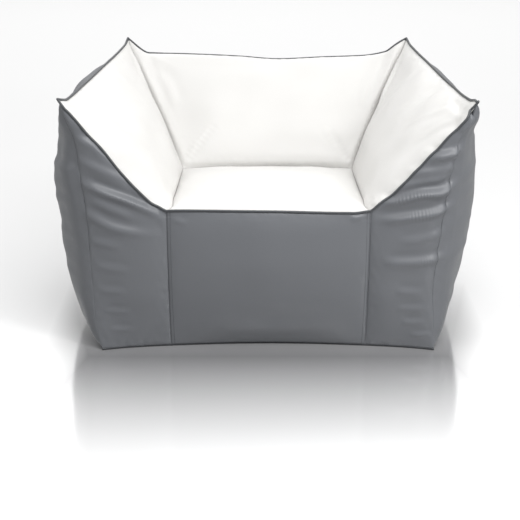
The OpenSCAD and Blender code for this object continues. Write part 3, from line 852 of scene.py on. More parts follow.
    def run_cloth(self, shell: bpy.types.Object, pins: np.ndarray, growth: np.ndarray) -> None:
        """Run Blender's cloth on the shell, held at its seams, and keep the result in its mesh.

        Args:
            shell: The welded cover.
            pins: How firmly each vertex is held, from 0 to 1.
            growth: How much larger the cloth is cut at each vertex, as a share.
        """
        scene = bpy.context.scene
        for name, weights in (("held", pins), ("cut_large", growth / GROWTH_MOST)):
            group = shell.vertex_groups.new(name=name)
            for k, weight in enumerate(weights):
                if weight > 0:
                    group.add([k], float(weight), "REPLACE")
        cloth = shell.modifiers.new("cloth", "CLOTH")
        settings = cloth.settings
        for key, value in CLOTH.items():
            setattr(settings, key, value)
        settings.uniform_pressure_force = self.pressure
        settings.vertex_group_mass = "held"
        settings.vertex_group_shrink = "cut_large"
        settings.effector_weights.gravity = 0.0
        cloth.collision_settings.use_collision = False
        cloth.point_cache.frame_start = 1
        cloth.point_cache.frame_end = self.frames
        for frame in range(1, self.frames + 1):
            scene.frame_set(frame)
        graph = bpy.context.evaluated_depsgraph_get()
        done = shell.evaluated_get(graph)
        points = mesh_points(done.to_mesh()).copy()
        done.to_mesh_clear()
        shell.modifiers.remove(cloth)
        shell.data.vertices.foreach_set("co", points.ravel())
        scene.frame_set(1)

    def work(self) -> None:
        """Refine every panel, and give it its folds, its uneven lie, its puckers and its seam hollows."""
        for name, panel in self.panels.items():
            panel.refine()
            flat = panel.grid.reshape(-1, 3)
            lift = np.zeros(len(flat))
            for fold in FOLDS:
                lift += fold.lift(flat)
            lift = lift.reshape(panel.grid.shape[:2])
            ease, seam = panel.cut.ease * MM, panel.seam_distance()
            away = 1 - np.exp(-((seam / self.ease_reach) ** 2))
            lift += ease * ripples(panel.grid, EASE_SEED, *self.ease_waves) * away
            beside = (seam / self.pucker_reach) * np.exp(1 - seam / self.pucker_reach)
            lift += PUCKER_SHARE * ease * ripples(panel.grid, PUCKER_SEED, *self.pucker_waves) * beside
            self.rims[name] = panel.grid + panel.normals * lift[..., None]
            steep, soft = self.seam_reach
            hollow = self.seam_hollow * (0.7 * np.exp(-seam / steep) + 0.3 * np.exp(-((seam / soft) ** 2)))
            panel.grid = panel.grid + panel.normals * (lift - hollow)[..., None]

    def rim(self) -> tuple[np.ndarray, np.ndarray]:
        """Return the closed line of the piped rim, and which way is outwards along it."""
        line = [self.rims[name][-1][:-1] for name in RIM_PANELS]
        out = [self.panels[name].normals[-1][:-1] for name in RIM_PANELS]
        back = RIM_PANELS.index("back_upper")
        t = np.linspace(0, 1, len(line[back]))[:, None]
        line[back] = line[back] + np.clip(8 * t * (1 - t), 0, 1) * np.array(BACK_RIM_SHIFT)
        out[back] = unit(out[back] + np.array(BACK_RIM_LEAN))
        return np.concatenate(line), np.concatenate(out)

    def rest_on_vents(self) -> None:
        """Bring the back panel to the plane of each vent, which clamps it flat."""
        panel = self.panels["back_upper"]
        for centre, normal in vent_places():
            gap = panel.grid - centre
            height = gap @ normal
            radius = np.linalg.norm(gap - height[..., None] * normal, axis=-1)
            t = np.clip((radius - self.vent_flat[0]) / self.vent_flat[1], 0, 1)
            hold = 1 - t * t * (3 - 2 * t)
            panel.grid = panel.grid - (hold * height)[..., None] * normal

    def sew(self, dye: Dye) -> None:
        """Make a piece of each panel.

        Args:
            dye: The finishes.
        """
        for name, panel in self.panels.items():
            finish = Finish.WHITE if name in WHITE_PANELS else Finish.GREY
            node = ODD_NODES.get(name, name + "_panel")
            holes = vent_places() if name == "back_upper" else ()
            sew_sheet("cover_" + name, panel.grid, self.thickness, finish, dye, node, holes)


def vent_places() -> list[tuple[np.ndarray, np.ndarray]]:
    """Return the middle of each vent's hole in the cover, and the way that the vent faces."""
    points = node_points("vent_eyelets")
    places = []
    for side in (1, -1):
        own = points[points[:, 0] * side > 0]
        middle = own.mean(axis=0)
        normal = np.linalg.svd(own - middle, full_matrices=False)[2][2]
        normal = normal * np.sign(normal[1])
        depth = (own - middle) @ normal
        places.append((middle + normal * (depth.max() - EYELET_LIP), normal))
    return places


def open_hole(made: bmesh.types.BMesh, centre: np.ndarray, normal: np.ndarray) -> None:
    """Open an eyelet's round hole in a sheet.

    Args:
        made: The sheet.
        centre: The hole's middle.
        normal: The way that the sheet faces there.
    """
    middle, facing = Vector(centre), Vector(normal)
    cut = [face for face in made.faces if (face.calc_center_median() - middle).length < EYELET_HOLE]
    edge = {vertex for face in cut for vertex in face.verts}
    bmesh.ops.delete(made, geom=cut, context="FACES")
    for vertex in edge:
        if vertex.is_valid and vertex.is_boundary:
            gap = vertex.co - middle
            gap -= facing * gap.dot(facing)
            vertex.co = middle + gap.normalized() * EYELET_HOLE


# ---------------------------------------------------------------- finishes

Colour = tuple[float, float, float, float]
MIX_INPUTS, MIX_RESULT = (0, 6, 7), 2


def new_group(name: str, inputs: dict[str, float], outputs: tuple[str, ...]) -> bpy.types.NodeTree:
    """Start a shader node group.

    Args:
        name: The group's name.
        inputs: Its number inputs and what they start from.
        outputs: Its number outputs.
    """
    group = bpy.data.node_groups.new(name, "ShaderNodeTree")
    for key, value in inputs.items():
        socket = group.interface.new_socket(key, in_out="INPUT", socket_type="NodeSocketFloat")
        socket.default_value = value
    for key in outputs:
        group.interface.new_socket(key, in_out="OUTPUT", socket_type="NodeSocketFloat")
    group.nodes.new("NodeGroupInput")
    group.nodes.new("NodeGroupOutput")
    return group


@dataclass
class Wiring:
    """A node tree, with short ways to add its nodes."""

    tree: bpy.types.NodeTree

    def add(self, kind: str, settings: dict[str, object] | None = None, **inputs: object) -> bpy.types.Node:
        """Add a node.

        Args:
            kind: The node's type, without ShaderNode.
            settings: Its own settings.
            inputs: What goes into its sockets, by name with _ for a space.
        """
        node = self.tree.nodes.new("ShaderNode" + kind)
        for key, value in (settings or {}).items():
            setattr(node, key, value)
        for key, value in inputs.items():
            self.feed(node, key.replace("_", " "), value)
        return node

    def feed(self, node: bpy.types.Node, name: str | int, value: object) -> None:
        """Put a value or another socket into a node's socket.

        Args:
            node: The node.
            name: The socket's name or number.
            value: The value or the socket.
        """
        socket = node.inputs[name]
        if isinstance(value, bpy.types.NodeSocket):
            self.tree.links.new(value, socket)
        else:
            socket.default_value = value

    def math(self, operation: str, a: object, b: object = 0.0, c: object = 0.0) -> bpy.types.NodeSocket:
        """Add a Math node, and return what it puts out.

        Args:
            operation: What it does.
            a: Its first value.
            b: Its second value.
            c: Its third value.
        """
        node = self.add("Math", {"operation": operation})
        for k, value in enumerate((a, b, c)):
            self.feed(node, k, value)
        return node.outputs[0]

    def mix(self, share: object, first: object, second: object) -> bpy.types.NodeSocket:
        """Add a Mix node for two colours, and return what it puts out.

        Args:
            share: How much of the second colour there is.
            first: The first colour.
            second: The second colour.
        """
        node = self.add("Mix", {"data_type": "RGBA"})
        for k, value in zip(MIX_INPUTS, (share, first, second)):
            self.feed(node, k, value)
        return node.outputs[MIX_RESULT]

    def noise(
        self, place: bpy.types.NodeSocket, scale: object, detail: float = 3.0, rough: float = 0.5
    ) -> bpy.types.NodeSocket:
        """Add a noise texture, and return its value.

        Args:
            place: The coordinates.
            scale: Its scale.
            detail: Its detail.
            rough: Its roughness.
        """
        return self.add("TexNoise", Vector=place, Scale=scale, Detail=detail, Roughness=rough).outputs[0]

    def end(self, kind: str) -> bpy.types.Node:
        """Return the tree's node of a kind.

        Args:
            kind: The node's whole type.
        """
        return next(node for node in self.tree.nodes if node.bl_idname == kind)


def grain_group() -> bpy.types.NodeTree:
    """Build the pebble grain of coated leatherette: Height, and Pores where the coating is thin."""
    group = new_group("pebble_grain", {"Pebble": 900.0, "Stretch": 60.0}, ("Height", "Pores", "Drift"))
    w = Wiring(group)
    source, drain = w.end("NodeGroupInput"), w.end("NodeGroupOutput")
    place = w.add("TexCoord").outputs["Object"]
    warp = w.add("TexNoise", Vector=place, Scale=source.outputs["Stretch"], Detail=2.0).outputs["Color"]
    moved = w.add("VectorMath", {"operation": "MULTIPLY_ADD"})
    w.feed(moved, 0, warp)
    w.feed(moved, 1, (0.0012, 0.0012, 0.0012))
    w.feed(moved, 2, place)
    pebble = source.outputs["Pebble"]
    cells = w.add("TexVoronoi", {"feature": "SMOOTH_F1"}, Vector=moved.outputs[0], Scale=pebble)
    fine = w.noise(place, 2600.0, 2.0)
    soft = w.noise(place, 220.0, 2.0)
    height = w.math("MULTIPLY_ADD", cells.outputs["Distance"], -0.8, w.math("MULTIPLY", fine, 0.25))
    w.feed(drain, "Height", w.math("MULTIPLY_ADD", soft, 0.5, height))
    w.feed(drain, "Pores", w.math("SMOOTH_MAX", cells.outputs["Distance"], 0.0, 0.1))
    w.feed(drain, "Drift", w.noise(place, 3.2, 4.0, 0.55))
    return group


def weave_group() -> bpy.types.NodeTree:
    """Build a plain weave from the piece's own UVs: Height of its threads, and Slub, their unevenness."""
    group = new_group("plain_weave", {"Threads": 1200.0, "Slubs": 40.0}, ("Height", "Slub"))
    w = Wiring(group)
    source, drain = w.end("NodeGroupInput"), w.end("NodeGroupOutput")
    apart = w.add("SeparateXYZ", Vector=w.add("TexCoord").outputs["UV"])
    turn = w.math("MULTIPLY", source.outputs["Threads"], math.pi)
    u = w.math("MULTIPLY", apart.outputs[0], turn)
    v = w.math("MULTIPLY", apart.outputs[1], turn)
    over = w.math("ABSOLUTE", w.math("MULTIPLY", w.math("SINE", u), w.math("COSINE", v)))
    under = w.math("ABSOLUTE", w.math("MULTIPLY", w.math("COSINE", u), w.math("SINE", v)))
    w.feed(drain, "Height", w.math("MAXIMUM", over, under))
    w.feed(drain, "Slub", w.noise(w.add("TexCoord").outputs["UV"], source.outputs["Slubs"], 4.0))
    return group


def wear_group() -> bpy.types.NodeTree:
    """Build light handling marks: Rub, broad and soft."""
    group = new_group("handling", {"Size": 14.0}, ("Rub",))
    w = Wiring(group)
    source, drain = w.end("NodeGroupInput"), w.end("NodeGroupOutput")
    place = w.add("TexCoord").outputs["Object"]
    cloud = w.noise(place, source.outputs["Size"], 5.0, 0.6)
    w.feed(drain, "Rub", w.add("MapRange", Value=cloud, From_Min=0.4, From_Max=0.75).outputs[0])
    return group


@dataclass
class Effects:
    """The node groups that the finishes share, each built once."""

    grain: bpy.types.NodeTree = field(default_factory=grain_group)
    weave: bpy.types.NodeTree = field(default_factory=weave_group)
    wear: bpy.types.NodeTree = field(default_factory=wear_group)


def use_group(w: Wiring, group: bpy.types.NodeTree, **inputs: float) -> bpy.types.Node:
    """Place a node group in a material with its own values.

    Args:
        w: The material's wiring.
        group: The group.
        inputs: Its values.
    """
    node = w.add("Group", {"node_tree": group})
    for key, value in inputs.items():
        w.feed(node, key, value)
    return node


@dataclass(frozen=True)
class Surface:
    """What every finish has.

    Attributes:
        name: The material's name, which is also the record's slot.
        colour: Its main colour.
    """

    name: str
    colour: Colour

    def build(self, effects: Effects) -> bpy.types.Material:
        """Make the material.

        Args:
            effects: The shared node groups.
        """
        material = bpy.data.materials.new(self.name)
        material.use_nodes = True
        w = Wiring(material.node_tree)
        self.paint(w, w.end("ShaderNodeBsdfPrincipled"), effects)
        return material

    def paint(self, w: Wiring, skin: bpy.types.Node, effects: Effects) -> None:
        """Wire the material.

        Args:
            w: Its wiring.
            skin: Its Principled shader.
            effects: The shared node groups.
        """
        raise NotImplementedError

    def finish_skin(
        self, w: Wiring, skin: bpy.types.Node, colour: object, bump: tuple[float, float, object],
        **plain: float,
    ) -> None:
        """Feed the shader its colour and its bump, and set its plain values.

        Args:
            w: The material's wiring.
            skin: Its Principled shader.
            colour: What feeds the colour.
            bump: The strength, the depth in metres and the height of the bump.
            plain: The shader's plain values, by name with _ for a space.
        """
        strength, depth, height = bump
        w.feed(skin, "Base Color", colour)
        node = w.add("Bump", Strength=strength, Distance=depth, Height=height)
        w.feed(skin, "Normal", node.outputs[0])
        for key, value in plain.items():
            skin.inputs[key.replace("_", " ")].default_value = value


def rub(
    w: Wiring, skin: bpy.types.Node, effects: Effects, size: float, share: float, dull: object
) -> bpy.types.NodeSocket:
    """Feed the shader a roughness with handling marks, and return the marks.

    Args:
        w: The material's wiring.
        skin: Its Principled shader.
        effects: The shared node groups.
        size: How fine the marks are.
        share: How much rougher a mark is.
        dull: The roughness without marks.
    """
    marks = use_group(w, effects.wear, Size=size).outputs["Rub"]
    w.feed(skin, "Roughness", w.math("MULTIPLY_ADD", marks, share, dull))
    return marks


@dataclass(frozen=True)
class Leatherette(Surface):
    """Coated leatherette: a satin skin with a fine pebble, pores a little darker, and soft handling marks."""

    pores: Colour
    drift: Colour
    roughness: float
    depth: float

    def paint(self, w: Wiring, skin: bpy.types.Node, effects: Effects) -> None:
        """Wire the leatherette."""
        grain = use_group(w, effects.grain, Pebble=820.0, Stretch=55.0)
        rub(w, skin, effects, 9.0, 0.07, w.math("MULTIPLY_ADD", grain.outputs["Pores"], 0.12, self.roughness))
        cloudy = w.mix(w.math("MULTIPLY", grain.outputs["Drift"], 0.6), self.colour, self.drift)
        pitted = w.mix(w.math("MULTIPLY", grain.outputs["Pores"], 0.35), cloudy, self.pores)
        self.finish_skin(
            w, skin, pitted, (1.0, self.depth, grain.outputs["Height"]),
            Coat_Weight=0.0, Sheen_Weight=0.0, Sheen_Roughness=0.5, IOR=1.48,
        )


@dataclass(frozen=True)
class Woven(Surface):
    """A woven cloth or tape, whose threads follow the piece, with painted shade in the hollows between them.
    """

    # shade: the colour of the painted shade between the threads, and the darker tone of the slubs
    shade: Colour
    threads: float
    roughness: float = 0.8
    depth: float = 0.0003
    sheen: float = 0.25

    def paint(self, w: Wiring, skin: bpy.types.Node, effects: Effects) -> None:
        """Wire the weave."""
        weave = use_group(w, effects.weave, Threads=self.threads, Slubs=36.0)
        rub(w, skin, effects, 12.0, 0.08, self.roughness)
        # painted shade: the hollows between the threads are darker
        threads = w.mix(weave.outputs["Height"], self.shade, self.colour)
        uneven = w.mix(w.math("MULTIPLY", weave.outputs["Slub"], 0.3), threads, self.shade)
        self.finish_skin(w, skin, uneven, (0.8, self.depth, weave.outputs["Height"]), Sheen_Weight=self.sheen)


@dataclass(frozen=True)
class Twisted(Surface):
    """Thread, cord or coil: plies that run slantwise round the strand, with painted shade in the grooves
    between them.
    """

    # shade: the colour of the painted shade in the grooves between the plies
    shade: Colour
    plies: float
    roughness: float
    depth: float

    def paint(self, w: Wiring, skin: bpy.types.Node, effects: Effects) -> None:
        """Wire the strand."""
        apart = w.add("SeparateXYZ", Vector=w.add("TexCoord").outputs["Object"])
        slant = w.math("ADD", w.math("ADD", apart.outputs[0], apart.outputs[1]), apart.outputs[2])
        strand = w.math("SINE", w.math("MULTIPLY", slant, self.plies))
        rub(w, skin, effects, 30.0, 0.1, self.roughness)
        # painted shade: the grooves between the plies are darker
        mixed = w.mix(w.math("MULTIPLY_ADD", strand, 0.3, 0.4), self.colour, self.shade)
        self.finish_skin(w, skin, mixed, (0.7, self.depth, strand))


@dataclass(frozen=True)
class Nickel(Surface):
    """Plated zip and eyelet metal, brushed by handling."""

    rubbed: Colour
    brushed: tuple[float, float, float] = (300.0, 5000.0, 5000.0)
    roughness: tuple[float, float] = (0.18, 0.18)

    def paint(self, w: Wiring, skin: bpy.types.Node, effects: Effects) -> None:
        """Wire the metal."""
        marks = use_group(w, effects.wear, Size=240.0).outputs["Rub"]
        place = w.add("TexCoord").outputs["Object"]
        stretched = w.add("Mapping", {"vector_type": "POINT"}, Vector=place, Scale=self.brushed)
        lines = w.noise(stretched.outputs[0], 1.0, 2.0)
        w.feed(skin, "Roughness", w.math("MULTIPLY_ADD", lines, *self.roughness))
        mixed = w.mix(marks, self.colour, self.rubbed)
        self.finish_skin(w, skin, mixed, (0.25, 0.00005, lines), Metallic=1.0)


@dataclass(frozen=True)
class Beads(Surface):
    """A mass of expanded beads, with painted shade in the gaps between them."""

    # gaps: the colour of the painted shade between the beads
    gaps: Colour
    scale: float = 230.0
    dome: float = 0.6

    def paint(self, w: Wiring, skin: bpy.types.Node, effects: Effects) -> None:
        """Wire the beads."""
        place = w.add("TexCoord").outputs["Object"]
        far = w.add("TexVoronoi", Vector=place, Scale=self.scale, Randomness=0.8).outputs["Distance"]
        rub(w, skin, effects, 20.0, 0.1, 0.6)
        # painted shade: darker where the beads meet
        gap = w.add("MapRange", Value=far, From_Min=0.25, From_Max=0.7).outputs[0]
        dome = w.math("SQRT", w.math("MAXIMUM", w.math("SUBTRACT", self.dome, far), 0.0))
        self.finish_skin(w, skin, w.mix(gap, self.colour, self.gaps), (1.0, 0.003, dome))


@dataclass(frozen=True)
class Floor(Surface):
    """A pale studio floor with a faint polish, painted darker in front of the chair: a painted reflection and
    shade of the chair.

    Attributes:
        rubbed: Its colour where it is rubbed.
        deep: The colour of the painted reflection and shade, right in front of the chair.
        unseen: The colour that lights other things, but isn't seen.
        fade_side: The slope and the start of the painted reflection's fade to each side.
        fade_along: The slope and the start of the painted reflection's fade forwards and backwards.
        glow: How much light of its own the camera sees; it fades out where the painted reflection is.
    """

    rubbed: Colour = (0.73, 0.73, 0.73, 1.0)
    # the colour of the painted reflection and shade of the chair on the floor
    deep: Colour = (0.24, 0.24, 0.245, 1.0)
    unseen: Colour = (0.42, 0.42, 0.42, 1.0)
    fade_side: tuple[float, float] = (8.0, -3.6)
    fade_along: tuple[float, float] = (2.0, 0.76)
    glow: float = 0.17

    def paint(self, w: Wiring, skin: bpy.types.Node, effects: Effects) -> None:
        """Wire the floor."""
        marks = rub(w, skin, effects, 0.8, 0.03, 0.1)
        mixed = w.mix(w.math("MULTIPLY", marks, 0.1), self.colour, self.rubbed)
        split = w.add("SeparateXYZ", Vector=w.add("TexCoord").outputs["Object"])
        # mask for the painted reflection and shade: 0 right in front of the chair, 1 away from it
        beside = w.math("MULTIPLY_ADD", w.math("ABSOLUTE", split.outputs["X"]), *self.fade_side)
        along = w.math("ABSOLUTE", w.math("MULTIPLY_ADD", split.outputs["Y"], *self.fade_along))
        far = w.math("MAXIMUM", beside, along)
        beside.node.use_clamp = far.node.use_clamp = True
        seen = w.add("LightPath").outputs["Is Camera Ray"]
        # painted reflection and shade: the camera sees the floor darker in front of the chair
        w.feed(skin, "Base Color", w.mix(seen, self.unseen, w.mix(far, self.deep, mixed)))
        w.feed(skin, "Emission Color", w.mix(seen, (0.0, 0.0, 0.0, 1.0), far))
        skin.inputs["Emission Strength"].default_value = self.glow
        skin.inputs["IOR"].default_value = 2.6


class Finish(Enum):
    """The record's material slots, each with its finish, and the finish of the sewing thread."""

    GREY = Leatherette(
        "grey_leatherette", (0.15, 0.157, 0.17, 1), (0.105, 0.11, 0.12, 1), (0.164, 0.171, 0.184, 1),
        0.31, 0.0001,
    )
    WHITE = Leatherette(
        "white_leatherette", (0.7, 0.693, 0.678, 1), (0.6, 0.592, 0.574, 1), (0.67, 0.662, 0.646, 1),
        0.42, 0.00014,
    )
    PIPING = Leatherette(
        "piping_leatherette", (0.07, 0.074, 0.08, 1), (0.045, 0.048, 0.052, 1), (0.085, 0.09, 0.096, 1),
        0.38, 0.0001,
    )
    CORD = Twisted("cord_cotton", (0.72, 0.69, 0.6, 1), (0.55, 0.52, 0.44, 1), 2400.0, 0.85, 0.0004)
    BASE = Woven("base_cloth", (0.04, 0.042, 0.046, 1), (0.018, 0.019, 0.021, 1), 700.0)
    TAPE = Woven("zip_tape", (0.055, 0.058, 0.063, 1), (0.025, 0.027, 0.03, 1), 1600.0)
    COIL = Twisted("zip_coil", (0.05, 0.052, 0.056, 1), (0.035, 0.037, 0.04, 1), 900.0, 0.35, 0.00005)
    METAL = Nickel("nickel", (0.62, 0.6, 0.57, 1), (0.5, 0.48, 0.46, 1))
    PARTITION = Woven("partition_cloth", (0.6, 0.6, 0.58, 1), (0.42, 0.42, 0.4, 1), 800.0)
    CALICO = Woven("liner_calico", (0.68, 0.64, 0.55, 1), (0.5, 0.46, 0.38, 1), 900.0)
    BEADS = Beads("polystyrene_beads", (0.85, 0.85, 0.86, 1), (0.55, 0.55, 0.57, 1))
    FASTENER = Woven("touch_fastener", (0.6, 0.6, 0.58, 1), (0.3, 0.3, 0.29, 1), 500.0, depth=0.001)
    THREAD = Twisted("sewing_thread", (0.07, 0.074, 0.08, 1), (0.04, 0.043, 0.046, 1), 9000.0, 0.6, 0.0001)


@dataclass
class Dye:
    """Builds each finish once, and gives it out."""

    effects: Effects = field(default_factory=Effects)
    made: dict[Finish, bpy.types.Material] = field(default_factory=dict)

    def __call__(self, finish: Finish) -> bpy.types.Material:
        """Return a finish's material.

        Args:
            finish: The finish.
        """
        if finish not in self.made:
            self.made[finish] = finish.value.build(self.effects)
        return self.made[finish]

    def dress_node(self, node: str, finish: Finish) -> None:
        """Give a CAD node that stays its finish.

        Args:
            node: The node's name.
            finish: The finish.
        """
        materials = bpy.data.objects[node].data.materials
        materials.clear()
        materials.append(self(finish))


# ---------------------------------------------------------------- piping and stitching


def even_line(line: np.ndarray, step: float, closed: bool) -> np.ndarray:
    """Return a line's points again, evenly spaced.

    Args:
        line: The points.
        step: The distance wanted between them, in metres.
        closed: Whether the line runs back to its start.
    """
    if closed:
        line = np.concatenate([line, line[:1]])
    far = np.insert(np.cumsum(np.linalg.norm(np.diff(line, axis=0), axis=1)), 0, 0.0)
    count = round(far[-1] / step)
    at = np.linspace(0, far[-1], count + 1)
    points = np.stack([np.interp(at, far, line[:, k]) for k in range(line.shape[1])], axis=1)
    return points[:-1] if closed else points


def tube(
    name: str, lines: list[np.ndarray], radius: float, rounds: int, closed: bool = False, weld: float = 1e-6
) -> bpy.types.Object:
    """Sweep a round section along lines, as one piece.

    Args:
        name: The piece's name.
        lines: The points of each line.
        radius: The section's radius, in metres.
        rounds: How finely the section is rounded.
        closed: Whether each line runs back to its start.
        weld: How near two vertices lie to be joined, in metres.
    """
    curve = bpy.data.curves.new(name + "_line", "CURVE")
    curve.dimensions = "3D"
    curve.bevel_depth = radius
    curve.bevel_resolution = rounds
    curve.use_fill_caps = not closed
    for line in lines:
        spline = curve.splines.new("POLY")
        spline.points.add(len(line) - 1)
        spline.points.foreach_set("co", np.insert(line, 3, 1.0, axis=1).ravel())
        spline.use_cyclic_u = closed
    holder = bpy.data.objects.new(name + "_line", curve)
    bpy.context.scene.collection.objects.link(holder)
    mesh = bpy.data.meshes.new_from_object(holder.evaluated_get(bpy.context.evaluated_depsgraph_get()))
    bpy.data.objects.remove(holder)
    made = bmesh.new()
    made.from_mesh(mesh)
    bpy.data.meshes.remove(mesh)
    bmesh.ops.remove_doubles(made, verts=made.verts, dist=weld)
    bmesh.ops.recalc_face_normals(made, faces=made.faces)
    return piece_from(name, made)


@dataclass
class Piping:
    """The piped rim: a leatherette sleeve round a cotton cord, sewn into the seam all round the top.

    Attributes:
        radius: The sleeve's radius, in metres.
        cord_radius: The cord's radius.
        wall: The sleeve's thickness.
        stand: How far its middle stands out of the seam.
        step: The distance between the points along it.
    """

    radius: float = 0.003
    cord_radius: float = 0.002
    wall: float = 0.0009
    stand: float = 0.0012
    step: float = 0.004

    def build(self, cover: Cover, dye: Dye) -> None:
        """Make the sleeve and its cord.

        Args:
            cover: The cover whose rim they follow.
            dye: The finishes.
        """
        line, out = cover.rim()
        path = even_line(np.concatenate([line + out * self.stand, out], axis=1), self.step, closed=True)
        path = path[:, :3]
        for _ in range(2):
            path = 0.5 * path + 0.25 * (np.roll(path, 1, axis=0) + np.roll(path, -1, axis=0))
        sleeve = tube("piping_sleeve_sewn", [path], self.radius, 2, closed=True)
        thicken(sleeve, self.wall)
        fasten(sleeve, Finish.PIPING, dye, "piping_sleeve")
        cord = tube("piping_cord", [path], self.cord_radius, 1, closed=True)
        fasten(cord, Finish.CORD, dye, "piping_core")


@dataclass
class Stitching:
    """Rows of lockstitches: small threads that lie on the cover.

    Attributes:
        dye: The finishes.
        length: A stitch's length, in metres.
        pitch: The distance from one stitch to the next.
        thread: The thread's radius.
        dips: How high a stitch lies along its length, counted in threads.
        front_insets: How far the front's rows lie from their seams.
        zip_insets: How far the zip's rows lie from its opening.
        foot_inset: How far the foot's row lies from the foot seams.
    """

    dye: Dye
    length: float = 0.0046
    pitch: float = 0.0058
    thread: float = 0.00042
    dips: tuple[float, ...] = (-1.2, 0.3, 0.6, 0.3, -1.2)
    front_insets: tuple[float, float] = (0.0026, 0.0098)
    zip_insets: tuple[float, float] = (0.003, 0.0085)
    foot_inset: float = 0.004

    def row(self, line: np.ndarray, out: np.ndarray) -> list[np.ndarray]:
        """Return one row of stitches, each a short line that dips at its ends.

        Args:
            line: The row's points.
            out: Which way is outwards at each.
        """
        spots = even_line(np.concatenate([line, out], axis=1), self.pitch, closed=False)
        share = self.length / self.pitch / 2
        along = np.linspace(0.5 - share, 0.5 + share, len(self.dips))[:, None]
        rise = self.thread * np.array(self.dips)[:, None]
        return [
            here[:3] * (1 - along) + after[:3] * along + here[3:] * rise
            for here, after in zip(spots[:-1], spots[1:])
        ]

    def sew(self, name: str, rows: Iterable[tuple[np.ndarray, np.ndarray]]) -> None:
        """Make one piece of many rows.

        Args:
            name: The piece's name.
            rows: Each row's points and which way is outwards at each.
        """
        stitches = [stitch for line, out in rows for stitch in self.row(line, out)]
        fasten(tube(name, stitches, self.thread, 1, weld=1e-7), Finish.THREAD, self.dye)

    def build(self, cover: Cover) -> None:
        """Make the rows beside the front seams, the zip and the foot seams.

        Args:
            cover: The cover that they are sewn through.
        """
        panels = cover.panels
        columns = itertools.product(self.front_insets, (False, True))
        self.sew("front_topstitch", (inset_column(panels["front"], *column) for column in columns))
        rows = itertools.product((("back_hem", True), ("back_upper", False)), self.zip_insets)
        self.sew("zip_topstitch", (inset_row(panels[name], inset, top) for (name, top), inset in rows))
        names = ("front", "right_wing", "left_wing", "right_side", "left_side", "back_hem")
        self.sew("foot_topstitch", (inset_row(panels[name], self.foot_inset, False) for name in names))


def inset_row(panel: Panel, inset: float, from_top: bool) -> tuple[np.ndarray, np.ndarray]:
    """Return a line at an even distance from a panel's bottom or top seam, and its normals.

    Args:
        panel: The panel.
        inset: The distance from the seam, in metres.
        from_top: Whether the line follows the top seam.
    """
    grid = panel.grid[::-1] if from_top else panel.grid
    normals = panel.normals[::-1] if from_top else panel.normals
    far = np.insert(np.cumsum(np.linalg.norm(np.diff(grid, axis=0), axis=-1), axis=0), 0, 0.0, axis=0)
    line, out = (
        np.array([[np.interp(inset, far[:, i], own[:, i, k]) for k in range(3)] for i in range(own.shape[1])])
        for own in (grid, normals)
    )
    return line[2:-2], unit(out)[2:-2]


def inset_column(panel: Panel, inset: float, from_right: bool = False) -> tuple[np.ndarray, np.ndarray]:
    """Return a line at an even distance from a panel's left or right seam, and its normals.

    Args:
        panel: The panel.
        inset: The distance from the seam, in metres.
        from_right: Whether the line follows the right-hand seam.
    """
    turned = Panel(panel.grid.swapaxes(0, 1), panel.runs[::-1], panel.cut, panel.normals.swapaxes(0, 1))
    return inset_row(turned, inset, from_right)


# ---------------------------------------------------------------- filling zip


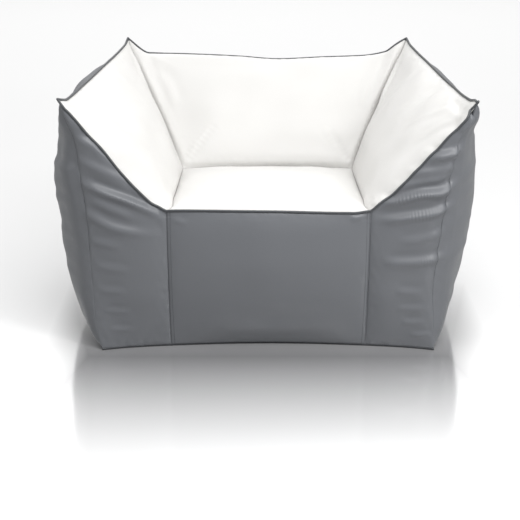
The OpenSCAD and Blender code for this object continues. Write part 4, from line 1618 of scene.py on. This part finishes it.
@dataclass
class FillingZip:
    """The zip across the back: two woven tapes, two coils, its slider and its pull tab.

    Attributes:
        dye: The finishes.
        pitch: The distance from one turn of a coil to the next, in metres.
        wire: The coil wire's radius.
        weave_dip: How far a tape's weave stays under its edges.
        weave_wave: How deep its edges ripple.
        plate: The thickness of the slider's plates.
        plate_corner: The radius of their corners.
        lip: The thickness of the slider's rolled lips.
        bevel: How far its edges are softened.
        bridge: The radius of the bridge's wire.
        bridge_half: Half the bridge's length, to the outside.
        sunk: How far the bridge and the lips reach into a plate.
        pin: The radius of the pull's pin.
        arm: The width of the pull's arms.
        thin: Half the pull's thickness.
        pull_hole: The radius of its hole.
        grooves: Where its grooves are, from the pin.
    """

    dye: Dye
    pitch: float = 0.0024
    wire: float = 0.0004
    weave_dip: float = 0.00025
    weave_wave: float = 0.0001
    plate: float = 0.0014
    plate_corner: float = 0.003
    lip: float = 0.001
    bevel: float = 0.0004
    bridge: float = 0.0007
    bridge_half: float = 0.0055
    sunk: float = 0.0006
    pin: float = 0.00095
    arm: float = 0.0015
    thin: float = 0.0006
    pull_hole: float = 0.00175
    grooves: tuple[float, ...] = (-0.012, -0.0145, -0.017)

    def build_tape(self, name: str, node: str) -> None:
        """Make one tape.

        Args:
            name: The piece's name.
            node: The CAD node that it stands for.
        """
        low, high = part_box(node)
        x = np.linspace(low[0], high[0], 120)
        z = np.linspace(low[2], high[2], 7)
        grid = np.empty((len(z), len(x), 3))
        grid[..., 0], grid[..., 2] = x[None, :], z[:, None]
        edge = np.abs(np.linspace(-1, 1, len(z)))[:, None] ** 6
        wave = self.weave_wave * np.abs(np.sin(x * 900))[None, :] * edge
        grid[..., 1] = high[1] - self.weave_dip * (1 - edge) - wave
        sew_sheet(name, grid[:, ::-1], float(high[1] - low[1]) - 0.0004, Finish.TAPE, self.dye, node)

    def build_coil(self, name: str, node: str) -> None:
        """Make one coil of looped nylon.

        Args:
            name: The piece's name.
            node: The CAD node that it stands for.
        """
        low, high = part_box(node)
        turns = int((high[0] - low[0]) / self.pitch)
        t = np.linspace(0, turns, turns * 10 + 1)
        middle = (np.array(low) + np.array(high)) / 2
        deep = (high[1] - low[1]) / 2 - self.wire
        wide = (high[2] - low[2]) / 2 - self.wire
        angle = 2 * math.pi * t
        x = low[0] + self.wire + t / turns * (high[0] - low[0] - 2 * self.wire)
        line = np.stack([x, middle[1] + deep * np.sin(angle), middle[2] + wide * np.cos(angle)], axis=1)
        fasten(tube(name, [line], self.wire, 1), Finish.COIL, self.dye, node)

    def add_plate(self, made: bmesh.types.BMesh, low: Vector, high: Vector, corner: float) -> None:
        """Add a flat plate with rounded corners and softened edges, facing the back.

        Args:
            made: The bmesh that takes it.
            low: Its lowest corner.
            high: Its highest corner.
            corner: The radius of its corners.
        """
        size = high - low
        place = Matrix.Translation((low + high) / 2) @ Matrix.Diagonal((*size, 1.0))
        verts = bmesh.ops.create_cube(made, size=1.0, matrix=place)["verts"]
        edges = {edge for vertex in verts for edge in vertex.link_edges}
        upright = [e for e in edges if abs((e.verts[0].co - e.verts[1].co).y) > 0.9 * size.y > 0]
        soft = {"profile": 0.5, "affect": "EDGES", "material": -1, "clamp_overlap": True}
        bent = bmesh.ops.bevel(made, geom=upright, offset=corner, segments=5, **soft)
        rim = {edge for face in bent["faces"] for edge in face.edges}
        faces = {face for edge in rim for face in edge.link_faces}
        flat = [f for f in faces if abs(f.normal.y) > 0.9]
        around = list({edge for face in flat for edge in face.edges})
        bmesh.ops.bevel(made, geom=around, offset=min(self.bevel, size.y * 0.3), segments=2, **soft)

    def build_slider(self) -> None:
        """Make the slider: two plates, the lips between them, and the bridge that holds the pull tab."""
        low, high = (Vector(corner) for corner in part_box("zip_slider"))
        points = node_points("zip_slider")
        plates = np.unique(np.round(points[np.abs(points[:, 2] - high.z) < 1e-5][:, 1], 5))
        inner, outer = low.y, float(plates.max())
        made = bmesh.new()
        for floor in (outer - self.plate, inner):
            start = Vector((low.x, floor, low.z))
            self.add_plate(made, start, Vector((high.x, floor + self.plate, high.z)), self.plate_corner)
        coil_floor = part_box("zip_upper_tape")[1][1] + 0.00025
        for z in (low.z, high.z - self.lip):
            bottom = Vector((low.x + self.plate_corner, coil_floor, z))
            top = Vector((high.x - self.plate_corner, outer - self.sunk, z + self.lip))
            self.add_plate(made, bottom, top, 0.0003)
        post = Vector((low.x + 0.0012, inner + 0.0007, (low.z + high.z) / 2 - 0.0004))
        self.add_plate(made, post, post + Vector((0.004, outer - inner - 0.0014, 0.0008)), 0.0003)
        middle = (low + high) / 2
        arch = high.y - outer
        half = self.bridge_half - self.bridge
        section = bmesh.ops.create_circle(made, cap_ends=True, radius=self.bridge, segments=10)["verts"]
        face = section[0].link_faces[0]
        start = Vector((middle.x - half, outer - self.sunk, middle.z))
        bmesh.ops.rotate(made, verts=section, cent=(0, 0, 0), matrix=Matrix.Rotation(math.pi / 2, 3, "X"))
        bmesh.ops.translate(made, verts=section, vec=start)
        steps = ((0, arch - 0.0013, 0), (0.0006, 0.0006, 0), (0.0012, 0.0003, 0), (2 * half - 0.0036, 0, 0))
        steps += ((0.0012, -0.0003, 0), (0.0006, -0.0006, 0), (0, -(arch - 0.0013), 0))
        tilts = (0, -35, -45, 0, -45, -35, 0)
        for step, tilt in zip(steps, tilts):
            grown = bmesh.ops.extrude_discrete_faces(made, faces=[face])["faces"][0]
            bmesh.ops.translate(made, verts=grown.verts, vec=step)
            turn = Matrix.Rotation(math.radians(tilt), 3, "Z")
            bmesh.ops.rotate(made, verts=grown.verts, cent=grown.calc_center_median(), matrix=turn)
            face = grown
        bmesh.ops.recalc_face_normals(made, faces=made.faces)
        slider = piece_from("zip_slider_body", made, smooth=False)
        fasten(slider, Finish.METAL, self.dye, "zip_slider", body="zip_slider")

    def build_pull(self) -> None:
        """Make the pull tab: a pin, two arms and a tab with a hole and grooves."""
        low, high = (Vector(corner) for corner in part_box("zip_pull"))
        pin_x = high.x - 0.001
        middle_y, middle_z = (low.y + high.y) / 2, (low.z + high.z) / 2
        width, arm_end = high.z - low.z, pin_x - 0.009
        made = bmesh.new()
        pin = Matrix.Translation((pin_x, middle_y, middle_z))
        round_pin = {"radius1": self.pin, "radius2": self.pin, "depth": width, "matrix": pin}
        bmesh.ops.create_cone(made, cap_ends=True, segments=20, **round_pin)
        thin = self.thin
        for z in (low.z, high.z - self.arm):
            bottom = Vector((arm_end - 0.002, middle_y - thin, z))
            self.add_plate(made, bottom, Vector((pin_x + 0.0009, middle_y + thin, z + self.arm)), 0.0005)
        tab_low = Vector((low.x, middle_y - thin, low.z))
        tab_high = Vector((arm_end, middle_y + thin, high.z))
        outline, hole = (
            bmesh.ops.create_circle(made, cap_ends=False, radius=1.0, segments=40)["verts"] for _ in range(2)
        )
        length = tab_high.x - tab_low.x
        hole_x = low.x + 0.0045
        for vertex in outline:
            x, z = vertex.co.x, vertex.co.y
            round_out = 1 / max((abs(x) ** 5 + abs(z) ** 5) ** 0.2, 1e-9)
            across = (tab_low.x + tab_high.x) / 2 + x * round_out * length / 2
            vertex.co = (across, tab_low.y, middle_z + z * round_out * width / 2)
        for vertex in hole:
            x, z = vertex.co.x, vertex.co.y
            vertex.co = (hole_x + x * self.pull_hole, tab_low.y, middle_z + z * self.pull_hole)
        rings = {edge for vertex in [*outline, *hole] for edge in vertex.link_edges}
        face_ring = bmesh.ops.bridge_loops(made, edges=list(rings))["faces"]
        grown = bmesh.ops.extrude_face_region(made, geom=face_ring)["geom"]
        moved = [part for part in grown if isinstance(part, bmesh.types.BMVert)]
        bmesh.ops.translate(made, verts=moved, vec=(0, tab_high.y - tab_low.y, 0))
        for x in self.grooves:
            groove = Vector((pin_x + x, middle_y + thin - 0.0001, low.z + 0.0012))
            self.add_plate(made, groove, groove + Vector((0.0009, 0.0003, width - 0.0024)), 0.0003)
        bmesh.ops.recalc_face_normals(made, faces=made.faces)
        pull = piece_from("zip_pull_tab", made, smooth=False)
        fasten(pull, Finish.METAL, self.dye, "zip_pull", body="zip_pull")

    def build(self) -> None:
        """Make the whole zip."""
        for side in ("upper", "lower"):
            self.build_tape(f"zip_{side}_tape_woven", f"zip_{side}_tape")
            self.build_coil(f"zip_{side}_coil_wound", f"zip_{side}_coil")
        self.build_slider()
        self.build_pull()


# ---------------------------------------------------------------- inside and underneath

RING_STEP, RING_POINTS = 0.012, 110
BAG_STATIONS, BAG_END, BAG_SEED = 57, 0.08, 23


@dataclass
class Insides:
    """The walls between the four chambers, and in each chamber a calico bag with its bead filling.

    Attributes:
        cover: The cover round them.
        dye: The finishes.
        foot: How high the walls end above the floor, in metres.
        wall: A wall's thickness.
        base: The base's thickness.
        calico: A bag's thickness.
        wall_room: How far a wall stays inside the cover.
        bag_draw: How far a bag stays inside its chamber.
        fill_draw: How far the filling stays inside its chamber.
        fill_rise: How far the filling stays above the bag's underside.
    """

    cover: Cover
    dye: Dye
    foot: float = 0.002
    wall: float = 0.001
    base: float = 0.002
    calico: float = 0.0014
    wall_room: float = 0.005
    bag_draw: float = 0.014
    fill_draw: float = 0.018
    fill_rise: float = 0.0024

    def build_wall(self, name: str, grid: np.ndarray, node: str) -> None:
        """Make one inner wall.

        Args:
            name: The piece's name.
            grid: Its points, in rows.
            node: The CAD node that it stands for.
        """
        sew_sheet(name, grid, self.wall, Finish.PARTITION, self.dye, node)

    def below(self, line: np.ndarray, rows: int = 13) -> np.ndarray:
        """Return the grid of a wall that hangs from a seam to the base.

        Args:
            line: The seam's points.
            rows: How many rows the wall has.
        """
        foot = line.copy()
        foot[:, 2] = self.foot
        v = np.linspace(0, 1, rows)[:, None, None]
        return foot[None] * (1 - v) + line[None] * v

    def build_walls(self) -> None:
        """Make the five inner walls."""
        seams = self.cover.seams
        lower = np.array([0.0, 0.0, -self.wall_room])
        self.build_wall("seat_wall", self.below(seams["back_crease"] + lower)[:, ::-1], "seat_partition")
        for side in ("left", "right"):
            inward = np.array([-self.wall_room if side == "right" else self.wall_room, -self.wall_room, 0.0])
            line = seams[f"{side}_crease"] + lower
            front = seams[f"{side}_front"] * (1, 1, 0.985) + np.array([0.0, self.wall_room, 0.0])
            line = np.concatenate([front[-1:], line[1:]])
            back = self.below(line[-1:], len(front))[:, 0]
            grid = coons(np.linspace(front[0], back[0], len(line)), line, front, back)
            self.build_wall(f"{side}_arm_wall", grid, f"{side}_arm_partition")
            corner = seams[f"{side}_corner"] + lower * 2
            rear = seams[f"{side}_rear"] + inward * 1.4
            corner[-1] = rear[-1] = (corner[-1] + rear[-1]) / 2 + lower
            foot = np.linspace(corner[0] * (1, 1, 0) + (0, 0, self.foot), rear[0], len(corner))
            inner = self.below(corner[:1], len(rear))[:, 0]
            grid = coons(foot, corner, inner, rear)
            self.build_wall(f"{side}_corner_wall", grid, f"{side}_corner_partition")

    def build_base(self) -> None:
        """Make the base panel."""
        seams = self.cover.seams
        front = [seams["left_foot_wing"][::-1], seams["foot_front"][1:], seams["right_foot_wing"][1:]]
        near = np.concatenate(front)
        far = sampled(seams["foot_rear"], np.linspace(0, Run.WIDTH.cells, len(near)))
        grid = coons(near, far, seams["left_foot_side"], seams["right_foot_side"])
        grid[..., 2] = 0.0
        sew_sheet("base_sewn", grid[:, ::-1], self.base, Finish.BASE, self.dye, "base_panel")

    def bag(self, name: str, loops: np.ndarray, draw: float, floor: float) -> bpy.types.Object:
        """Make a closed bag from the loops round a chamber, drawn in from its walls.

        Args:
            name: The piece's name.
            loops: The chamber's loops, one for each station along it.
            draw: How far the bag stays inside the chamber, in metres.
            floor: The height of its underside, in metres.
        """
        count = len(loops)
        middle = loops.mean(axis=1, keepdims=True)
        ends = (middle[-1] - middle[0])[0]
        inset = draw / float(np.linalg.norm(ends))
        places = np.linspace(inset, 1 - inset, BAG_STATIONS) * (count - 1)
        rings = sampled(loops, places)
        middle = rings.mean(axis=1, keepdims=True)
        along = np.roll(rings, -2, axis=1) - np.roll(rings, 2, axis=1)
        side = unit(np.cross(along, unit(ends)))
        side *= np.sign((side * (middle - rings)).sum(axis=(1, 2)))[:, None, None]
        rings = rings + side * (draw + 0.0015 * np.abs(ripples(rings, BAG_SEED, 0.12, 0.05)))[..., None]
        for _ in range(6):
            rings = 0.5 * rings + 0.25 * (np.roll(rings, 1, axis=1) + np.roll(rings, -1, axis=1))
        t = np.minimum(np.linspace(0, 1, len(rings)), np.linspace(1, 0, len(rings))) / BAG_END
        round_end = np.sqrt(np.clip(1 - (1 - np.clip(t, 0, 1)) ** 2, 0, 1))[:, None, None]
        rings = middle + (rings - middle) * (0.25 + 0.75 * round_end)
        rings[..., 2] = np.maximum(rings[..., 2], floor)
        caps = [rings[:1].mean(axis=1, keepdims=True), rings[-1:].mean(axis=1, keepdims=True)]
        shape = (1, rings.shape[1], 3)
        rings = np.concatenate([np.broadcast_to(caps[0], shape), rings, np.broadcast_to(caps[1], shape)])
        rings = np.concatenate([rings, rings[:, :1]], axis=1)
        made = bmesh.new()
        add_grid(made, rings)
        bmesh.ops.remove_doubles(made, verts=made.verts, dist=1e-6)
        bmesh.ops.recalc_face_normals(made, faces=made.faces)
        return piece_from(name, made)

    def chambers(self) -> dict[str, np.ndarray]:
        """Return each chamber's loops, from one end of it to the other."""
        grids, seams = self.cover.coarse, self.cover.seams
        found = {}

        def wall(seam: str, k: int) -> np.ndarray:
            return self.below(seams[seam][k : k + 1])[:, 0]

        def even(rings: Iterable[tuple[np.ndarray, ...]]) -> np.ndarray:
            loops = []
            for parts in rings:
                r = even_line(np.concatenate(parts), RING_STEP, closed=True)
                places = np.linspace(0, len(r), RING_POINTS + 1)[:-1]
                loops.append(sampled(np.concatenate([r, r[:1]]), places))
            return np.stack(loops)

        seat = grids["seat"]
        found["seat"] = even(
            (seat[v], wall("right_crease", v)[::-1], wall("left_crease", v)) for v in range(len(seat))
        )
        back, hem, rest = grids["back_upper"][:, ::-1], grids["back_hem"][:, ::-1], grids["backrest"][::-1]
        found["back"] = even(
            (hem[:, u], back[:, u], rest[:, u], wall("back_crease", u)[::-1]) for u in range(back.shape[1])
        )
        for side, turn in SIDES:
            outer, inner = grids[f"{side}_side"][:, ::turn], grids[f"{side}_arm"][:, ::turn]
            crease = f"{side}_crease"
            found[f"{side}_arm"] = even(
                (outer[:, v], inner[v, ::-1], wall(crease, v)[::-1]) for v in range(outer.shape[1])
            )
        return found

    def build(self) -> None:
        """Make the base, the walls, the bags and their fillings."""
        self.build_base()
        self.build_walls()
        for name, loops in self.chambers().items():
            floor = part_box(f"{name}_liner")[0][2]
            liner = self.bag(f"{name}_bag", loops, self.bag_draw, floor)
            thicken(liner, self.calico)
            fasten(liner, Finish.CALICO, self.dye, f"{name}_liner")
            filling = self.bag(f"{name}_beads", loops, self.fill_draw, floor + self.fill_rise)
            fasten(filling, Finish.BEADS, self.dye, f"{name}_fill")




# ---------------------------------------------------------------- studio


@dataclass(frozen=True)
class SoftBox:
    """One soft light.

    Attributes:
        name: Its name.
        place: Where it hangs.
        size: Its width and height.
        power: Its power, in watts.
        aim: The point that it faces.
    """

    name: str
    place: Place
    size: tuple[float, float]
    power: float
    aim: Place = (0.0, 0.0, 0.35)

    def hang(self) -> None:
        """Hang the light."""
        light = bpy.data.lights.new(self.name, "AREA")
        light.shape = "RECTANGLE"
        light.size, light.size_y = self.size
        light.energy = self.power
        lamp = bpy.data.objects.new(self.name, light)
        lamp.location = self.place
        lamp.rotation_euler = (Vector(self.aim) - Vector(self.place)).to_track_quat("-Z", "Y").to_euler()
        bpy.context.scene.collection.objects.link(lamp)


LIGHTS = (
    SoftBox("overhead", (0.0, 0.8, 6.0), (9.0, 9.0), 290),
    SoftBox("front", (0.5, -1.7, 2.3), (1.4, 0.8), 30),
    SoftBox("right_strip", (1.9, -2.0, 1.7), (0.3, 1.6), 34),
    SoftBox("left_strip", (-2.4, -1.4, 1.4), (0.4, 1.8), 7),
    SoftBox("backdrop", (0.0, 6.5, 4.5), (12.0, 5.0), 420, aim=(0.0, 6.4, 0.0)),
)


@dataclass
class Studio:
    """The camera, the soft lights, the floor and the light of the room.

    Attributes:
        camera_place: Where the camera stands.
        camera_dip: How far down it looks, in degrees.
        lens: Its lens, in millimetres.
        floor_half: Half the width of the floor.
        room_light: The room's light, and what the camera sees of it besides.
    """

    camera_place: Place = (-0.0209, -2.945, 1.231)
    camera_dip: float = 20.77
    lens: float = 78.34
    floor_half: float = 15.0
    room_light: tuple[float, float] = (0.38, 0.52)

    def set_camera(self) -> None:
        """Stand the camera in front of the chair, a little above it."""
        lens = bpy.data.cameras.new("camera")
        lens.lens = self.lens
        camera = bpy.data.objects.new("camera", lens)
        camera.location = self.camera_place
        camera.rotation_euler = (math.radians(90 - self.camera_dip), 0.0, 0.0)
        bpy.context.scene.collection.objects.link(camera)
        bpy.context.scene.camera = camera

    def build(self, floor: bpy.types.Material) -> None:
        """Set the floor, the lights and the room.

        Args:
            floor: The floor's finish.
        """
        made = bmesh.new()
        bmesh.ops.create_grid(made, x_segments=1, y_segments=1, size=self.floor_half)
        ground = piece_from("studio_floor", made, smooth=False)
        ground.data.materials.append(floor)
        for light in LIGHTS:
            light.hang()
        world = bpy.data.worlds.new("room")
        world.use_nodes = True
        bpy.context.scene.world = world
        sky = next(node for node in world.node_tree.nodes if node.type == "BACKGROUND")
        sky.inputs["Color"].default_value = (1.0, 1.0, 1.0, 1.0)
        w = Wiring(world.node_tree)
        seen = w.add("LightPath").outputs["Is Camera Ray"]
        plain, more = self.room_light
        w.feed(sky, "Strength", w.math("MULTIPLY_ADD", seen, more, plain))
        bpy.context.scene.view_settings.view_transform = "Standard"


# ---------------------------------------------------------------- main


def main() -> None:
    """Build the chair and its studio."""
    logging.basicConfig(level=logging.INFO, format="%(message)s")
    for name in ("Cube", "Light", "Camera"):
        if name in bpy.data.objects:
            bpy.data.objects.remove(bpy.data.objects[name])
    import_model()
    dye = Dye()
    studio = Studio()
    studio.set_camera()
    studio.build(Floor("studio_floor", (0.75, 0.75, 0.75, 1.0)).build(dye.effects))
    cover = Cover(Corners())
    cover.lay_seams()
    cover.lay_panels()
    cover.fill()
    cover.work()
    cover.rest_on_vents()
    cover.sew(dye)
    Piping().build(cover, dye)
    Stitching(dye).build(cover)
    FillingZip(dye).build()
    Insides(cover, dye).build()
    for node in ("vent_eyelets", "vent_washers", "zip_end_stops"):
        dye.dress_node(node, Finish.METAL)
    for node in ("liner_hook_strips", "liner_loop_strips"):
        dye.dress_node(node, Finish.FASTENER)


if __name__ == "__main__":
    main()
